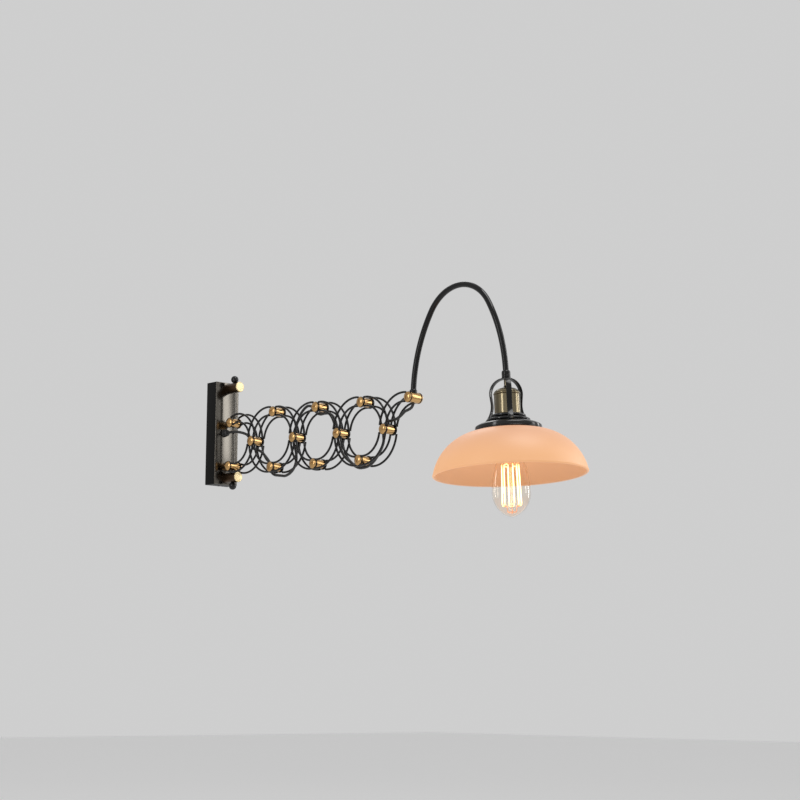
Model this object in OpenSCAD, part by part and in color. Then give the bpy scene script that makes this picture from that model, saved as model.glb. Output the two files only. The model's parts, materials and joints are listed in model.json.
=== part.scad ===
// Wall lamp on a scissor arm.
// X runs out from the wall, Y along the wall and Z up. X = 0 is the wall, and the origin is midway
// between the two wall screws. The arm is a folding frame of bent wire links. Each link turns on three
// hubs, and the first two hubs are threaded on a round bar between two posts.

/* [Wall box] */
// Depth of the box from the wall to its face
box_depth = 30; // [24:1:45]
// Width of the box
box_w = 55; // [48:1:80]
// Height of the box
box_h = 201; // [196:1:240]
// Thickness of the box's sheet
box_wall = 2; // [1.2:0.2:3]
// Distance between the two wall screws
screw_pitch = 70; // [50:1:110]
// Radius of a wall screw's hole
screw_hole_r = 2.5; // [1.5:0.1:3]

/* [Posts and bar] */
// Length of a post in front of the box
post_len = 39.6; // [34:0.2:50]
// Radius of a post
post_r = 9.9; // [8:0.1:11]
// Distance of a post's axis from the end of the box
post_edge = 12.5; // [11:0.5:14]
// Distance of the bar's axis from the face of the box
bar_x = 21.8; // [20:0.2:24]
// Radius of the bar
bar_r = 2.8; // [2:0.1:3.2]
// Radius of a ball at the bar's end
ball_r = 7.3; // [6:0.1:8.5]
// Thickness of the washer under the lower hub
washer_t = 2.2; // [1:0.1:3]

/* [Links] */
// Distance between neighbouring hubs of a link
link_len = 81.7; // [74:0.1:86]
// Slope of the links in the first cell
wall_angle = 31.2; // [28:0.1:36]
// Slope of the links in the other cells
cell_angle = 39.7; // [36:0.1:44]
// Angle by which the arm hangs below level
droop = 2.3; // [0:0.1:4]
// Bend of a wire between two hubs
link_turn = 104; // [90:1:110]
// Radius of the wire
wire_r = 1.9; // [1.4:0.1:2.1]
// Half the distance between a link's two wires
wire_gap = 8; // [7:0.1:9]
// Radius of the eyelet that joins the wires at a hub
eyelet_r = 9.8; // [9.4:0.1:11]

/* [Hubs] */
// Radius of a hub's sleeve
sleeve_r = 8.9; // [7.5:0.1:9.2]
// Half the length of a hub's sleeve
sleeve_half = 9.6; // [8:0.1:12]
// Radius of a screw's shank
shank_r = 2.4; // [1.8:0.1:2.8]
// Radius of a screw's head
head_r = 9.3; // [7:0.1:9.6]
// Height of a screw's domed head
head_h = 4.8; // [3:0.1:6]
// Radius of the nut behind a hub
nut_r = 6; // [4.5:0.1:8]

/* [Lamp neck] */
// Radius of the bent pipe
pipe_r = 5; // [4:0.1:5.5]
// Bend radius of the rising side
neck_r1 = 260; // [200:5:320]
// Bend of the rising side
neck_turn1 = 34; // [30:1:38]
// Bend radius of the crown
neck_r2 = 83; // [70:1:100]
// Bend of the crown
neck_turn2 = 114; // [108:1:118]
// Bend radius of the falling side
neck_r3 = 275; // [200:5:320]
// Bend of the falling side
neck_turn3 = 28.7; // [26:0.1:31]

/* [Lamp head] */
// Radius of the shade at its rim
shade_r = 128.5; // [110:0.5:140]
// Radius of the shade's rounded wall
dome_r = 87.7; // [84:0.1:102]
// Thickness of the shade's wall
shade_wall = 4; // [2.5:0.1:5]
// Radius of the cup that holds the shade
cup_r = 55.5; // [50:0.5:60]
// Height of the cup's rim
cup_h = 9; // [7:0.5:14]
// Radius of the lamp socket
socket_r = 21.8; // [20.5:0.1:24]
// Height of the lamp socket's straight wall
socket_h = 34; // [28:1:40]
// Width of a cage strap
strap_w = 9; // [5:0.5:11]
// Thickness of a cage strap
strap_t = 2; // [1:0.1:3]
// Radius of the bulb
bulb_r = 32; // [26:0.5:38]
// Height of the bulb's widest ring below the rim
bulb_low = 31; // [20:1:40]

/* [Cord] */
// Radius of the cord
cord_r = 2.6; // [1.8:0.1:2.8]

/* [Hidden] */
$fn = 64;
// clearances
run_gap = 0.05;
side_gap = 0.3;
hole_gap = 0.1;
eps = 0.02;

// heights and depths that follow from the sizes above
face_x = box_depth;
post_z = box_h / 2 - post_edge;
rod_x = face_x + bar_x;
post_end_x = face_x + post_len;
post_top_z = -post_z + post_r;
low_hub_z = post_top_z + side_gap + washer_t + side_gap + sleeve_r;
ball_seat = 0.8;
ball_z = post_z + post_r + ball_r - ball_seat;
rod_end_z = ball_z - ball_r + 4;

// layers of a hub, counted outwards from the middle of the arm
skin = 0.1;
fall_in = sleeve_half + side_gap;
fall_out = fall_in + 1.2;
fall_y = fall_out + skin - wire_r;
rise_y = fall_y + 2 * wire_r + side_gap;
rise_in = rise_y - wire_r + skin;
rise_out = rise_in + 1.4;
wide_half = rise_in - side_gap - skin;
nut_len = 2.6;
nut_h = 4;
stub_in = bar_r + 2;

// screws and sheet parts of the wall box
post_screw_r = 3;
post_screw_in = 11;
cover_screw_r = 1.5;
gland_thread_r = 4.6;
tab_x = 9;
tab_len = 15;
bracket_t = 2.5;
bracket_w = box_w - 2 * box_wall - 2;
bracket_h = box_h - 2 * box_wall - 2 * side_gap;
wire_hole_r = 10;

// hub places, as [x, z]
function dir(a) = [cos(a), sin(a)];
rise_angle = cell_angle - droop;
fall_angle = -cell_angle - droop;
low0 = [rod_x, low_hub_z];
top0 = low0 + [0, 2 * link_len * sin(wall_angle)];
mid0 = low0 + link_len * dir(wall_angle);
cell = 2 * link_len * cos(cell_angle) * dir(-droop);
function mid(i) = mid0 + i * cell;
function top(i) = i == 0 ? top0 : mid(i - 1) + link_len * dir(rise_angle);
function low(i) = i == 0 ? low0 : mid(i - 1) + link_len * dir(fall_angle);
cells = 4;
last_hub = top(cells);

// the cord leaves the box a little above the first middle hub
gland_rise = 24.1;
gland_z = mid0[1] + gland_rise;

// bends of the first cell's wires, chosen so that a wire runs smoothly past the middle hub
rise_turn0 = link_turn + 2 * (rise_angle - wall_angle);
fall_turn0 = link_turn - 2 * (fall_angle + wall_angle);
end_trim = 1.5;

// the neck's centre line, as three arcs on a straight foot
foot_h = 1;
neck_start = last_hub + [0, foot_h];
function arc_centre(p, heading, r) = p + r * dir(heading - 90);
function arc_end(p, heading, r, turn) = arc_centre(p, heading, r) + r * dir(heading - turn + 90);
heading1 = 90 - neck_turn1;
heading2 = heading1 - neck_turn2;
heading3 = heading2 - neck_turn3;
neck_p1 = arc_end(neck_start, 90, neck_r1, neck_turn1);
neck_p2 = arc_end(neck_p1, heading1, neck_r2, neck_turn2);
neck_end = arc_end(neck_p2, heading2, neck_r3, neck_turn3);
lamp_lean = 90 + heading3;
pipe_wall = 1;
weld_trim = 0.05;
knuckle_r = sleeve_r + 0.5;
ferrule_r = pipe_r + 1.7;
ferrule_h = 5;

// heights along the lamp's own axis, counted up from the shade's rim
dome_drop = 14;
dome_off = sqrt(dome_r * dome_r - dome_drop * dome_drop);
dome_c = [shade_r - dome_off, -dome_drop];
function dome_z(r) = dome_c[1] + sqrt(dome_r * dome_r - (r - dome_c[0]) * (r - dome_c[0]));
function dome_in_z(r) = dome_c[1] + sqrt(pow(dome_r - shade_wall, 2) - pow(r - dome_c[0], 2));
cup_wall = 1.6;
cup_z = dome_z(cup_r - cup_wall) + hole_gap;
crown_h = 3;
crown_z = cup_z + cup_h + crown_h;
ring_low_r = 37;
ring_low_z = crown_z + crown_h;
ring_top_r = 30;
ring_h = 5;
ring_top_z = ring_low_z + ring_h + 2;
cap_top_z = ring_top_z + ring_h;
socket_z = cap_top_z + eps;
bead_z = socket_z + socket_h;
bead_r = 2.5;
cone_z = bead_z + 2 * bead_r;
cone_h = 10;
spigot_r = pipe_r - 0.85;
spigot_h = 12;
cage_z = cone_z + cone_h + spigot_h;
collar_z = cage_z + strap_t + eps;
collar_seat = 6.5;
pipe_z = collar_z + collar_seat;
collar_wall = 2.4;
collar_r = pipe_r + collar_wall;
collar_h = 12;

// cage strap: an upper arc, a straight run and a lower arc, in a plane through the axis
strap_bend = 24;
strap_flare = 36;
strap_top_r = 5.3;
strap_foot_r = 63.3;
strap_drop = 19.7;
strap_sink = 0.3;
strap_hi = [strap_top_r, cage_z + strap_t / 2 - strap_sink - strap_bend];
strap_lo = [strap_foot_r, strap_hi[1] - strap_drop];
strap_run = strap_lo - strap_hi;
strap_slope = atan2(strap_run[1], strap_run[0]) + acos((strap_bend + strap_flare) / norm(strap_run));
strap_flat = sqrt(pow(norm(strap_run), 2) - pow(strap_bend + strap_flare, 2));
strap_foot = 65;
strap_count = 3;
strap_phase = -39;

holder_r = 18.6;
holder_in = 6;
holder_len = 72;
holder_bore = 27;
rib_r = 0.9;
rib_pitch = 3;
holder_top = socket_z + socket_h - holder_in;
holder_low = holder_top - holder_len;
glass_hole_r = holder_r + 2.4;
base_r = 13.2;
base_wall = 1.4;
ring_nut_r = 30;
bulb_top = holder_low + 1;
bulb_neck = base_r - 0.5;
bulb_wall = 1.2;
bulb_tip = 69.5;
bulb_steps = 14;
bulb_taper = 22;
bulb_shoulder = 20;
bulb_belly = 19;
bulb_blunt = 17;
filament_top = 18;
filament_low = -52;
filament_strands = 10;
filament_r = 0.5;
filament_spread = 15;
stem_r = 5;

// cord: way points by the hubs it passes, one list for each body that carries a stretch
cord_sides = 8;
cord_cuts = 2;
cord_y = -6;
cord_room = 0.8;
gland_len = 11;
cord_x = face_x + gland_len;
function near(p, x, z, y = 0) = [p[0] + x, y, p[1] + z];
cord_way = [
    [[cord_x, cord_y, gland_z], [cord_x + 9, cord_y, gland_z + 0.4], near(mid(0), -58, 23.9, -5.7),
        near(mid(0), -44, 21.6, -4), near(mid(0), -30, 17.4, -2), near(mid(0), -20.5, 11.5, -0.5),
        near(mid(0), -14.6, 3.6)],
    [near(mid(0), -13.2, -5), near(mid(0), -8, -12), near(mid(0), 1, -16), near(mid(0), 11, -18.6),
        near(mid(0), 21, -23.6), near(mid(0), 30, -31), near(low(1), -21.2, 15),
        near(low(1), -15.6, 6.6), near(low(1), -13.4, -2.2)],
    [near(low(1), -8.9, -10.2), near(low(1), -0.8, -14.8), near(low(1), 9, -16.4), near(low(1), 20, -18),
        near(low(1), 31, -19), near(mid(1), -20, -64.5), near(mid(1), -9, -56), near(mid(1), -3, -44),
        near(mid(1), -3, -31), near(mid(1), -6.5, -19), near(mid(1), -11, -9), near(mid(1), -12.4, 2),
        near(mid(1), -9.5, 13), near(mid(1), -4, 23), near(mid(1), 1.5, 33), near(mid(1), 8.5, 43.5),
        near(top(2), -47, 2.2), near(top(2), -37, 6.6), near(top(2), -27, 5.6), near(top(2), -17.8, 0),
        near(top(2), -9.8, -8.4), near(top(2), 1, -12.6)],
    [near(top(2), 12.5, -12.3), near(top(2), 24.5, -13.4), near(top(2), 35, -19), near(top(2), 43, -29),
        near(top(2), 47.5, -41), near(mid(2), -12.9, 1), near(mid(2), -9.6, -11),
        near(mid(2), -4.5, -23), near(mid(2), 3, -35), near(mid(2), 13.5, -46), near(low(3), -35, 0.5),
        near(low(3), -24, -7), near(low(3), -12, -11.8), near(low(3), 0, -12.6)],
    [near(low(3), 12.5, -11), near(low(3), 25, -5.5), near(low(3), 37, 4.5), near(mid(3), -17.5, -32.5),
        near(mid(3), -11.8, -20.5), near(mid(3), -12, -9), near(mid(3), -12.9, 1),
        near(mid(3), -9.2, 9.9), near(mid(3), -0.6, 14.4), near(mid(3), 11.4, 15.4),
        near(mid(3), 23, 17), near(mid(3), 34, 22), near(last_hub, -21.5, -22),
        near(last_hub, -13, -20), near(last_hub, -5.2, -17.2), near(last_hub, -0.9, -12.4),
        near(last_hub, 0, -7)]];

side_names = ["left", "right"];
rise_nodes = [for (i = [1:cells]) for (s = side_names) str("rise_link_", i, "_", s)];
fall_nodes = [for (i = [1:cells]) for (s = side_names) str("fall_link_", i, "_", s)];
screw_nodes = [for (i = [1:cells]) str("pivot_screws_", i)];
sleeve_nodes = [for (i = [1:cells]) str("hub_sleeves_", i)];
nut_nodes = [for (i = [1:cells]) str("pivot_nuts_", i)];
wall_nodes = ["wall_box", "wall_bracket", "posts", "post_screws", "cover_screws", "slide_bar", "end_balls",
    "bar_washer", "cord_gland"];
hub_nodes = ["swing_sleeve", "swing_screws", "slide_sleeve", "slide_screws"];
lamp_nodes = ["knuckle", "knuckle_screws", "neck_ferrule", "neck_pipe", "cage_collar", "cage",
    "socket_shell", "lamp_holder", "shade_cup", "shade_ring", "glass_shade", "bulb_glass", "bulb_base",
    "bulb_filament"];
cord_nodes = ["cord_wall", "cord_fall_1", "cord_rise_2", "cord_fall_3", "cord_rise_4"];

black = [0.06, 0.06, 0.07];
brass = [0.72, 0.53, 0.28];
steel = [0.45, 0.45, 0.47];

// a cylinder along Y between two places, round the point [x, z]
module y_rod(p, y0, y1, r) {
    translate([p[0], min(y0, y1), p[1]]) rotate([-90, 0, 0]) cylinder(h = abs(y1 - y0), r = r);
}

// a cylinder along X
module x_rod(x0, x1, y, z, r) {
    translate([x0, y, z]) rotate([0, 90, 0]) cylinder(h = x1 - x0, r = r);
}

// a domed head: a short rim and a cap of a sphere, outwards along +Y from y
module dome(p, y, r, h) {
    rim = 1;
    rise = h - rim;
    ball = (r * r + rise * rise) / (2 * rise);
    translate([p[0], y, p[1]]) rotate([-90, 0, 0]) {
        cylinder(h = rim, r = r);
        intersection() {
            translate([0, 0, h - ball]) sphere(r = ball, $fn = 96);
            translate([0, 0, rim - eps]) cylinder(h = h, r = r);
        }
    }
}

// a slotted screw: head outwards along +Y from y, shank inwards to y_in
module slotted_screw(p, y, y_in) {
    slot_w = 1.7;
    slot_d = 1.8;
    slot_angle = 40;
    difference() {
        union() {
            dome(p, y, head_r, head_h);
            y_rod(p, y_in, y + eps, shank_r);
        }
        translate([p[0], y + head_h, p[1]]) rotate([0, slot_angle, 0])
            cube([2 * head_r + 2, 2 * slot_d, slot_w], center = true);
    }
}

// the same on both sides of the arm
module both_sides() {
    children();
    mirror([0, 1, 0]) children();
}

// wall box, bracket, posts and bar
module wall_box() {
    color(steel) difference() {
        translate([0, -box_w / 2, -box_h / 2]) cube([box_depth, box_w, box_h]);
        translate([-1, -box_w / 2 + box_wall, -box_h / 2 + box_wall])
            cube([box_depth - box_wall + 1, box_w - 2 * box_wall, box_h - 2 * box_wall]);
        for (s = [-1, 1]) x_rod(face_x - box_wall - 1, face_x + 1, 0, s * post_z, post_screw_r + hole_gap);
        x_rod(face_x - box_wall - 1, face_x + 1, cord_y, gland_z, gland_thread_r + hole_gap);
        translate([tab_x, 0, -box_h / 2 - 1]) cylinder(h = box_h + 2, r = cover_screw_r + hole_gap);
    }
}

module wall_bracket() {
    color(steel) difference() {
        union() {
            translate([0, -bracket_w / 2, -bracket_h / 2]) cube([bracket_t, bracket_w, bracket_h]);
            for (s = [0, 1]) mirror([0, 0, s]) translate([0, -bracket_w / 2, bracket_h / 2 - bracket_t])
                cube([tab_len, bracket_w, bracket_t]);
        }
        for (s = [-1, 1]) x_rod(-1, bracket_t + 1, 0, s * screw_pitch / 2, screw_hole_r);
        x_rod(-1, bracket_t + 1, 0, 0, wire_hole_r);
        translate([tab_x, 0, -box_h / 2]) cylinder(h = box_h, r = cover_screw_r + run_gap);
    }
}

module cover_screws() {
    head_t = 1.4;
    shank_l = box_wall + bracket_t + 2;
    color(steel) for (s = [0, 1]) mirror([0, 0, s]) translate([tab_x, 0, box_h / 2]) {
        cylinder(h = head_t, r = 2.8);
        translate([0, 0, -shank_l]) cylinder(h = shank_l + eps, r = cover_screw_r);
    }
}

module posts() {
    chamfer = 0.8;
    color(brass) for (s = [-1, 1]) difference() {
        translate([face_x, 0, s * post_z]) rotate([0, 90, 0]) {
            cylinder(h = post_len - chamfer, r = post_r);
            translate([0, 0, post_len - chamfer - eps])
                cylinder(h = chamfer + eps, r1 = post_r, r2 = post_r - chamfer);
        }
        translate([rod_x, 0, s * post_z - post_r - 1]) cylinder(h = 2 * post_r + 2, r = bar_r + run_gap);
        x_rod(face_x - 1, face_x + post_screw_in + 1, 0, s * post_z, post_screw_r + run_gap);
    }
}

module post_screws() {
    head = 4;
    color(steel) for (s = [-1, 1]) {
        x_rod(face_x - box_wall - head, face_x - box_wall, 0, s * post_z, post_screw_r + 2);
        x_rod(face_x - box_wall - eps, face_x + post_screw_in, 0, s * post_z, post_screw_r);
    }
}

module slide_bar() {
    color(black) translate([rod_x, 0, -rod_end_z]) cylinder(h = 2 * rod_end_z, r = bar_r);
}

module end_balls() {
    color(black) for (s = [-1, 1]) difference() {
        translate([rod_x, 0, s * ball_z]) sphere(r = ball_r);
        x_rod(face_x, post_end_x + 5, 0, s * post_z, post_r + eps);
        translate([rod_x, 0, 0]) mirror([0, 0, s > 0 ? 0 : 1])
            cylinder(h = rod_end_z + hole_gap, r = bar_r + run_gap);
    }
}

module bar_washer() {
    washer_r = 7;
    color(black) translate([rod_x, 0, post_top_z + side_gap]) difference() {
        cylinder(h = washer_t, r = washer_r);
        translate([0, 0, -1]) cylinder(h = washer_t + 2, r = bar_r + run_gap);
    }
}

module cord_gland() {
    hex_h = 4.5;
    hex_r = 8;
    body_r = 6.6;
    mouth_r = 4.4;
    cone = 2;
    color(black) difference() {
        union() {
            translate([face_x, cord_y, gland_z]) rotate([0, 90, 0]) cylinder(h = hex_h, r = hex_r, $fn = 6);
            x_rod(face_x, face_x + gland_len - cone, cord_y, gland_z, body_r);
            translate([face_x + gland_len - cone - eps, cord_y, gland_z]) rotate([0, 90, 0])
                cylinder(h = cone + eps, r1 = body_r, r2 = mouth_r);
            x_rod(face_x - box_wall - 6, face_x + eps, cord_y, gland_z, gland_thread_r);
        }
        x_rod(face_x - box_wall - 7, face_x + gland_len + 1, cord_y, gland_z, cord_r + hole_gap);
    }
}

// hubs on the bar
module swing_sleeve() {
    color(brass) difference() {
        y_rod(low0, -wide_half, wide_half, sleeve_r);
        translate([rod_x, 0, low0[1] - sleeve_r - 1]) cylinder(h = 2 * sleeve_r + 2, r = bar_r + run_gap);
        both_sides() y_rod(low0, stub_in - hole_gap, wide_half + 1, shank_r + hole_gap);
    }
}

module swing_screws() {
    color(brass) both_sides() slotted_screw(low0, rise_out + side_gap, stub_in);
}

module slide_sleeve() {
    color(brass) difference() {
        y_rod(top0, -sleeve_half, sleeve_half, sleeve_r);
        translate([rod_x, 0, top0[1] - sleeve_r - 1]) cylinder(h = 2 * sleeve_r + 2, r = bar_r + run_gap);
        both_sides() y_rod(top0, stub_in - hole_gap, sleeve_half + 1, shank_r + hole_gap);
    }
}

module slide_screws() {
    color(brass) both_sides() slotted_screw(top0, fall_out + skin + side_gap, stub_in);
}

// one wire of a half link: from a hub along angle a, bulging to the left (side 1) or right (side -1)
module half_wire(p, y, a, turn, side, off) {
    r = link_len / (2 * sin(turn / 2));
    c = p + link_len / 2 * dir(a) - side * r * cos(turn / 2) * dir(a + 90);
    translate([c[0], y, c[1]]) rotate([90, 0, 0])
        rotate([0, 0, a + 90 * side - turn / 2 + end_trim])
            rotate_extrude(angle = turn - 2 * end_trim) translate([r + off, 0]) circle(r = wire_r);
}

// the right-hand frame of a link: wires in the plane y, eyelets from y0 to y1, cut back to cut_y at each hub
module link_frame(hubs, halves, y, y0, y1, cut0, cut1) {
    difference() {
        union() {
            for (h = halves) for (off = [-wire_gap, wire_gap]) half_wire(h[0], y, h[1], h[2], h[3], off);
            for (p = hubs) y_rod(p, y0, y1, eyelet_r);
        }
        for (p = hubs) {
            y_rod(p, cut0, cut1, eyelet_r);
            y_rod(p, y0 - 1, y1 + 1, shank_r + run_gap);
        }
    }
}

module on_side(s) {
    if (s == 1) children();
    else mirror([0, 1, 0]) children();
}

// a rising link, from a low hub over the middle hub to the next top hub
module rise_link(i, s) {
    first = i == 0 ? [low(0), wall_angle, rise_turn0, -1] : [low(i), rise_angle, link_turn, -1];
    second = [mid(i), rise_angle, link_turn, 1];
    color(black) on_side(s) link_frame([low(i), mid(i), top(i + 1)], [first, second],
        rise_y, rise_in, rise_out, rise_out, rise_y + wire_r + 1);
}

// a falling link, from a top hub over the middle hub to the next low hub
module fall_link(i, s) {
    first = i == 0 ? [top(0), -wall_angle, fall_turn0, 1] : [top(i), fall_angle, link_turn, 1];
    last = i == cells - 1;
    color(black) on_side(s) link_frame(last ? [top(i), mid(i)] : [top(i), mid(i), low(i + 1)],
        last ? [first] : [first, [mid(i), fall_angle, link_turn, -1]],
        fall_y, fall_in, fall_out, fall_y - wire_r - 1, fall_in);
}

// hubs whose screw is held by rising link i
function link_hubs(i) = concat(i == 0 ? [] : [low(i)], [mid(i)], i == cells - 1 ? [] : [top(i + 1)]);

module pivot_screws(i) {
    color(brass) for (p = link_hubs(i)) mirror([0, 1, 0]) slotted_screw(p, rise_out, -rise_out - nut_len);
}

module hub_sleeves(i) {
    color(brass) for (p = link_hubs(i)) difference() {
        y_rod(p, -sleeve_half, sleeve_half, sleeve_r);
        y_rod(p, -sleeve_half - 1, sleeve_half + 1, shank_r + hole_gap);
    }
}

module pivot_nuts(i) {
    color(steel) for (p = link_hubs(i)) difference() {
        dome(p, rise_out, nut_r, nut_h);
        y_rod(p, rise_out - 1, rise_out + nut_len + 0.2, shank_r + run_gap);
    }
}

// the room that the pipe's foot takes up, along its first bend
module pipe_room() {
    turn = 6;
    c = arc_centre(neck_start, 90, neck_r1);
    translate([c[0], 0, c[1]]) rotate([90, 0, 0]) rotate([0, 0, 180 - turn])
        rotate_extrude(angle = turn) translate([neck_r1, 0]) circle(r = pipe_r + run_gap);
}

// the knuckle on the arm's last hub and the bent pipe
module knuckle() {
    color(brass) difference() {
        y_rod(last_hub, -wide_half, wide_half, knuckle_r);
        pipe_room();
        translate([last_hub[0], 0, last_hub[1] - knuckle_r - 1])
            cylinder(h = knuckle_r + 1 + 2 * foot_h, r = cord_r + cord_room);
        both_sides() y_rod(last_hub, pipe_r + 1 - hole_gap, wide_half + 1, shank_r + hole_gap);
    }
}

module knuckle_screws() {
    color(brass) both_sides() slotted_screw(last_hub, rise_out + side_gap, pipe_r + 1);
}

module neck_ferrule() {
    color(black) difference() {
        translate([last_hub[0], 0, last_hub[1] + knuckle_r - 2]) cylinder(h = ferrule_h + 2, r = ferrule_r);
        pipe_room();
        y_rod(last_hub, -wide_half, wide_half, knuckle_r + eps);
    }
}

// a stretch of the pipe: a torus arc from p, starting at a heading and turning right
module pipe_arc(p, heading, r, turn) {
    c = arc_centre(p, heading, r);
    translate([c[0], 0, c[1]]) rotate([90, 0, 0]) rotate([0, 0, heading - turn + 90 + weld_trim])
        rotate_extrude(angle = turn - 2 * weld_trim) translate([r, 0]) difference() {
            circle(r = pipe_r);
            circle(r = pipe_r - pipe_wall);
        }
}

// the seam where two bends of the pipe meet: a ring a little thicker than the pipe's wall
module pipe_seam(p, heading) {
    bore = pipe_r - pipe_wall - hole_gap;
    translate([p[0], 0, p[1]]) difference() {
        sphere(r = pipe_r + hole_gap);
        rotate([0, 90 - heading, 0]) cylinder(h = 3 * pipe_r, r = bore, center = true);
    }
}

module neck_pipe() {
    color(black) {
        pipe_arc(neck_start, 90, neck_r1, neck_turn1);
        pipe_arc(neck_p1, heading1, neck_r2, neck_turn2);
        pipe_arc(neck_p2, heading2, neck_r3, neck_turn3);
        pipe_seam(neck_p1, heading1);
        pipe_seam(neck_p2, heading2);
    }
}

// the lamp head hangs on the neck's end, on its own axis
module on_lamp() {
    translate([neck_end[0], 0, neck_end[1]]) rotate([0, -lamp_lean, 0])
        translate([0, 0, -pipe_z]) children();
}

module ring_profile(r_in, r_out, z0, h) {
    e = h / 2;
    translate([r_in, z0]) square([r_out - e - r_in, h]);
    translate([r_out - e, z0 + e]) circle(r = e);
}

module cage_collar() {
    cone = 2;
    color(black) on_lamp() difference() {
        union() {
            translate([0, 0, collar_z]) cylinder(h = collar_h - cone, r = collar_r);
            translate([0, 0, collar_z + collar_h - cone - eps])
                cylinder(h = cone, r1 = collar_r, r2 = pipe_r + 1.2);
        }
        translate([0, 0, pipe_z]) cylinder(h = collar_h, r = pipe_r + hole_gap);
        translate([0, 0, collar_z - 1]) cylinder(h = collar_h, r = spigot_r + hole_gap);
    }
}

// one strap of the cage, in the plane y = 0
module strap() {
    rotate([90, 0, 0]) {
        translate([strap_hi[0], strap_hi[1]]) rotate([0, 0, strap_slope])
            strap_arc(strap_bend, 90 - strap_slope);
        translate([strap_lo[0], strap_lo[1]]) rotate([0, 0, 180 + strap_slope])
            strap_arc(strap_flare, strap_foot);
        translate([strap_hi[0], strap_hi[1]]) rotate([0, 0, strap_slope])
            translate([strap_bend - strap_t / 2, -strap_flat, -strap_w / 2])
                cube([strap_t, strap_flat, strap_w]);
    }
}
module strap_arc(bend, turn) {
    rotate_extrude(angle = turn) translate([bend - strap_t / 2, -strap_w / 2])
        square([strap_t, strap_w]);
}

module cage() {
    color(black) on_lamp() difference() {
        union() {
            translate([0, 0, cage_z]) cylinder(h = strap_t, r = collar_r + 0.6);
            for (k = [0:strap_count - 1]) rotate([0, 0, strap_phase + k * 360 / strap_count]) strap();
        }
        translate([0, 0, cage_z - 5]) cylinder(h = strap_t + 10, r = spigot_r + hole_gap);
    }
}

module socket_shell() {
    color(brass) on_lamp() rotate_extrude() difference() {
        union() {
            translate([0, socket_z]) square([socket_r, socket_h + eps]);
            ring_profile(0, socket_r + 0.8, bead_z, 2 * bead_r);
            polygon([[0, cone_z - eps], [socket_r - 2, cone_z - eps],
                [spigot_r + 1.5, cone_z + cone_h * 0.8], [spigot_r, cone_z + cone_h], [0, cone_z + cone_h]]);
            translate([0, cone_z]) square([spigot_r, pipe_z - 0.5 - cone_z]);
        }
        translate([0, socket_z - 1]) square([holder_r + hole_gap, holder_top + 1 + side_gap - socket_z]);
        translate([0, socket_z]) square([1.8, pipe_z]);
    }
}

module lamp_holder() {
    color(black) on_lamp() rotate_extrude() difference() {
        union() {
            translate([0, holder_low]) square([holder_r, holder_top - holder_low]);
            for (k = [1:6]) translate([holder_r - 0.2, holder_low + k * rib_pitch]) circle(r = rib_r);
        }
        translate([0, holder_low - 1]) square([base_r + 0.4, holder_bore + 1]);
    }
}

module shade_cup() {
    color(black) on_lamp() rotate_extrude() difference() {
        union() {
            translate([0, cup_z]) square([cup_r, cup_h]);
            polygon([[0, cup_z + cup_h - eps], [cup_r - 0.6, cup_z + cup_h - eps],
                [cup_r - 4, crown_z], [ring_low_r - 2, ring_low_z], [0, ring_low_z]]);
            ring_profile(0, ring_low_r, ring_low_z - eps, ring_h);
            translate([0, ring_low_z]) square([ring_top_r - 3, ring_top_z - ring_low_z + 1]);
            ring_profile(0, ring_top_r, ring_top_z, ring_h);
            ring_profile(0, cup_r + 0.8, cup_z, 2.4);
        }
        translate([0, cup_z - 1]) square([cup_r - cup_wall, cup_h + 1]);
        polygon([[0, cup_z + cup_h - 1], [cup_r - cup_wall - 0.6, cup_z + cup_h - 1],
            [cup_r - 5, crown_z - cup_wall], [ring_low_r - 3, ring_low_z - cup_wall],
            [0, ring_low_z - cup_wall]]);
        translate([0, cup_z]) square([holder_r + hole_gap, cap_top_z]);
    }
}

module glass_shade() {
    lip = 2.3;
    color([0.93, 0.9, 0.86]) on_lamp() rotate_extrude() {
        difference() {
            intersection() {
                translate(dome_c) circle(r = dome_r, $fn = 128);
                translate([glass_hole_r, 0]) square([shade_r, 2 * dome_r]);
            }
            translate(dome_c) circle(r = dome_r - shade_wall, $fn = 128);
            translate([0, -1]) square([dome_c[0], dome_in_z(holder_r) - 1]);
        }
        translate([shade_r - lip, lip]) circle(r = lip);
    }
}

module shade_ring() {
    h = 4;
    z = dome_in_z(glass_hole_r) - side_gap - h;
    color(black) on_lamp() rotate_extrude() difference() {
        ring_profile(0, ring_nut_r, z, h);
        translate([0, z - 1]) square([holder_r + 0.8, h + 2]);
    }
}

// bulb outline: a long taper from the neck to the widest ring, then a blunt point
function bez(a, b, c, d, t) = pow(1 - t, 3) * a + 3 * t * pow(1 - t, 2) * b
    + 3 * t * t * (1 - t) * c + t * t * t * d;
function bulb_line(off) = concat(
    [for (k = [0:bulb_steps]) bez([bulb_neck - off, bulb_top], [bulb_neck - off, bulb_top - bulb_taper],
        [bulb_r - off, bulb_shoulder], [bulb_r - off, -bulb_low], k / bulb_steps)],
    [for (k = [1:bulb_steps]) bez([bulb_r - off, -bulb_low],
        [bulb_r - off, -bulb_low - bulb_belly + off / 2],
        [bulb_blunt - off, off - bulb_tip + 2], [0, off - bulb_tip], k / bulb_steps)]);

module bulb_glass() {
    color([0.95, 0.8, 0.55, 0.5]) on_lamp() rotate_extrude() difference() {
        polygon(concat([[0, bulb_top]], bulb_line(0)));
        polygon(concat([[0, bulb_top + 1], [bulb_neck - bulb_wall, bulb_top + 1]], bulb_line(bulb_wall)));
    }
}

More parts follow.
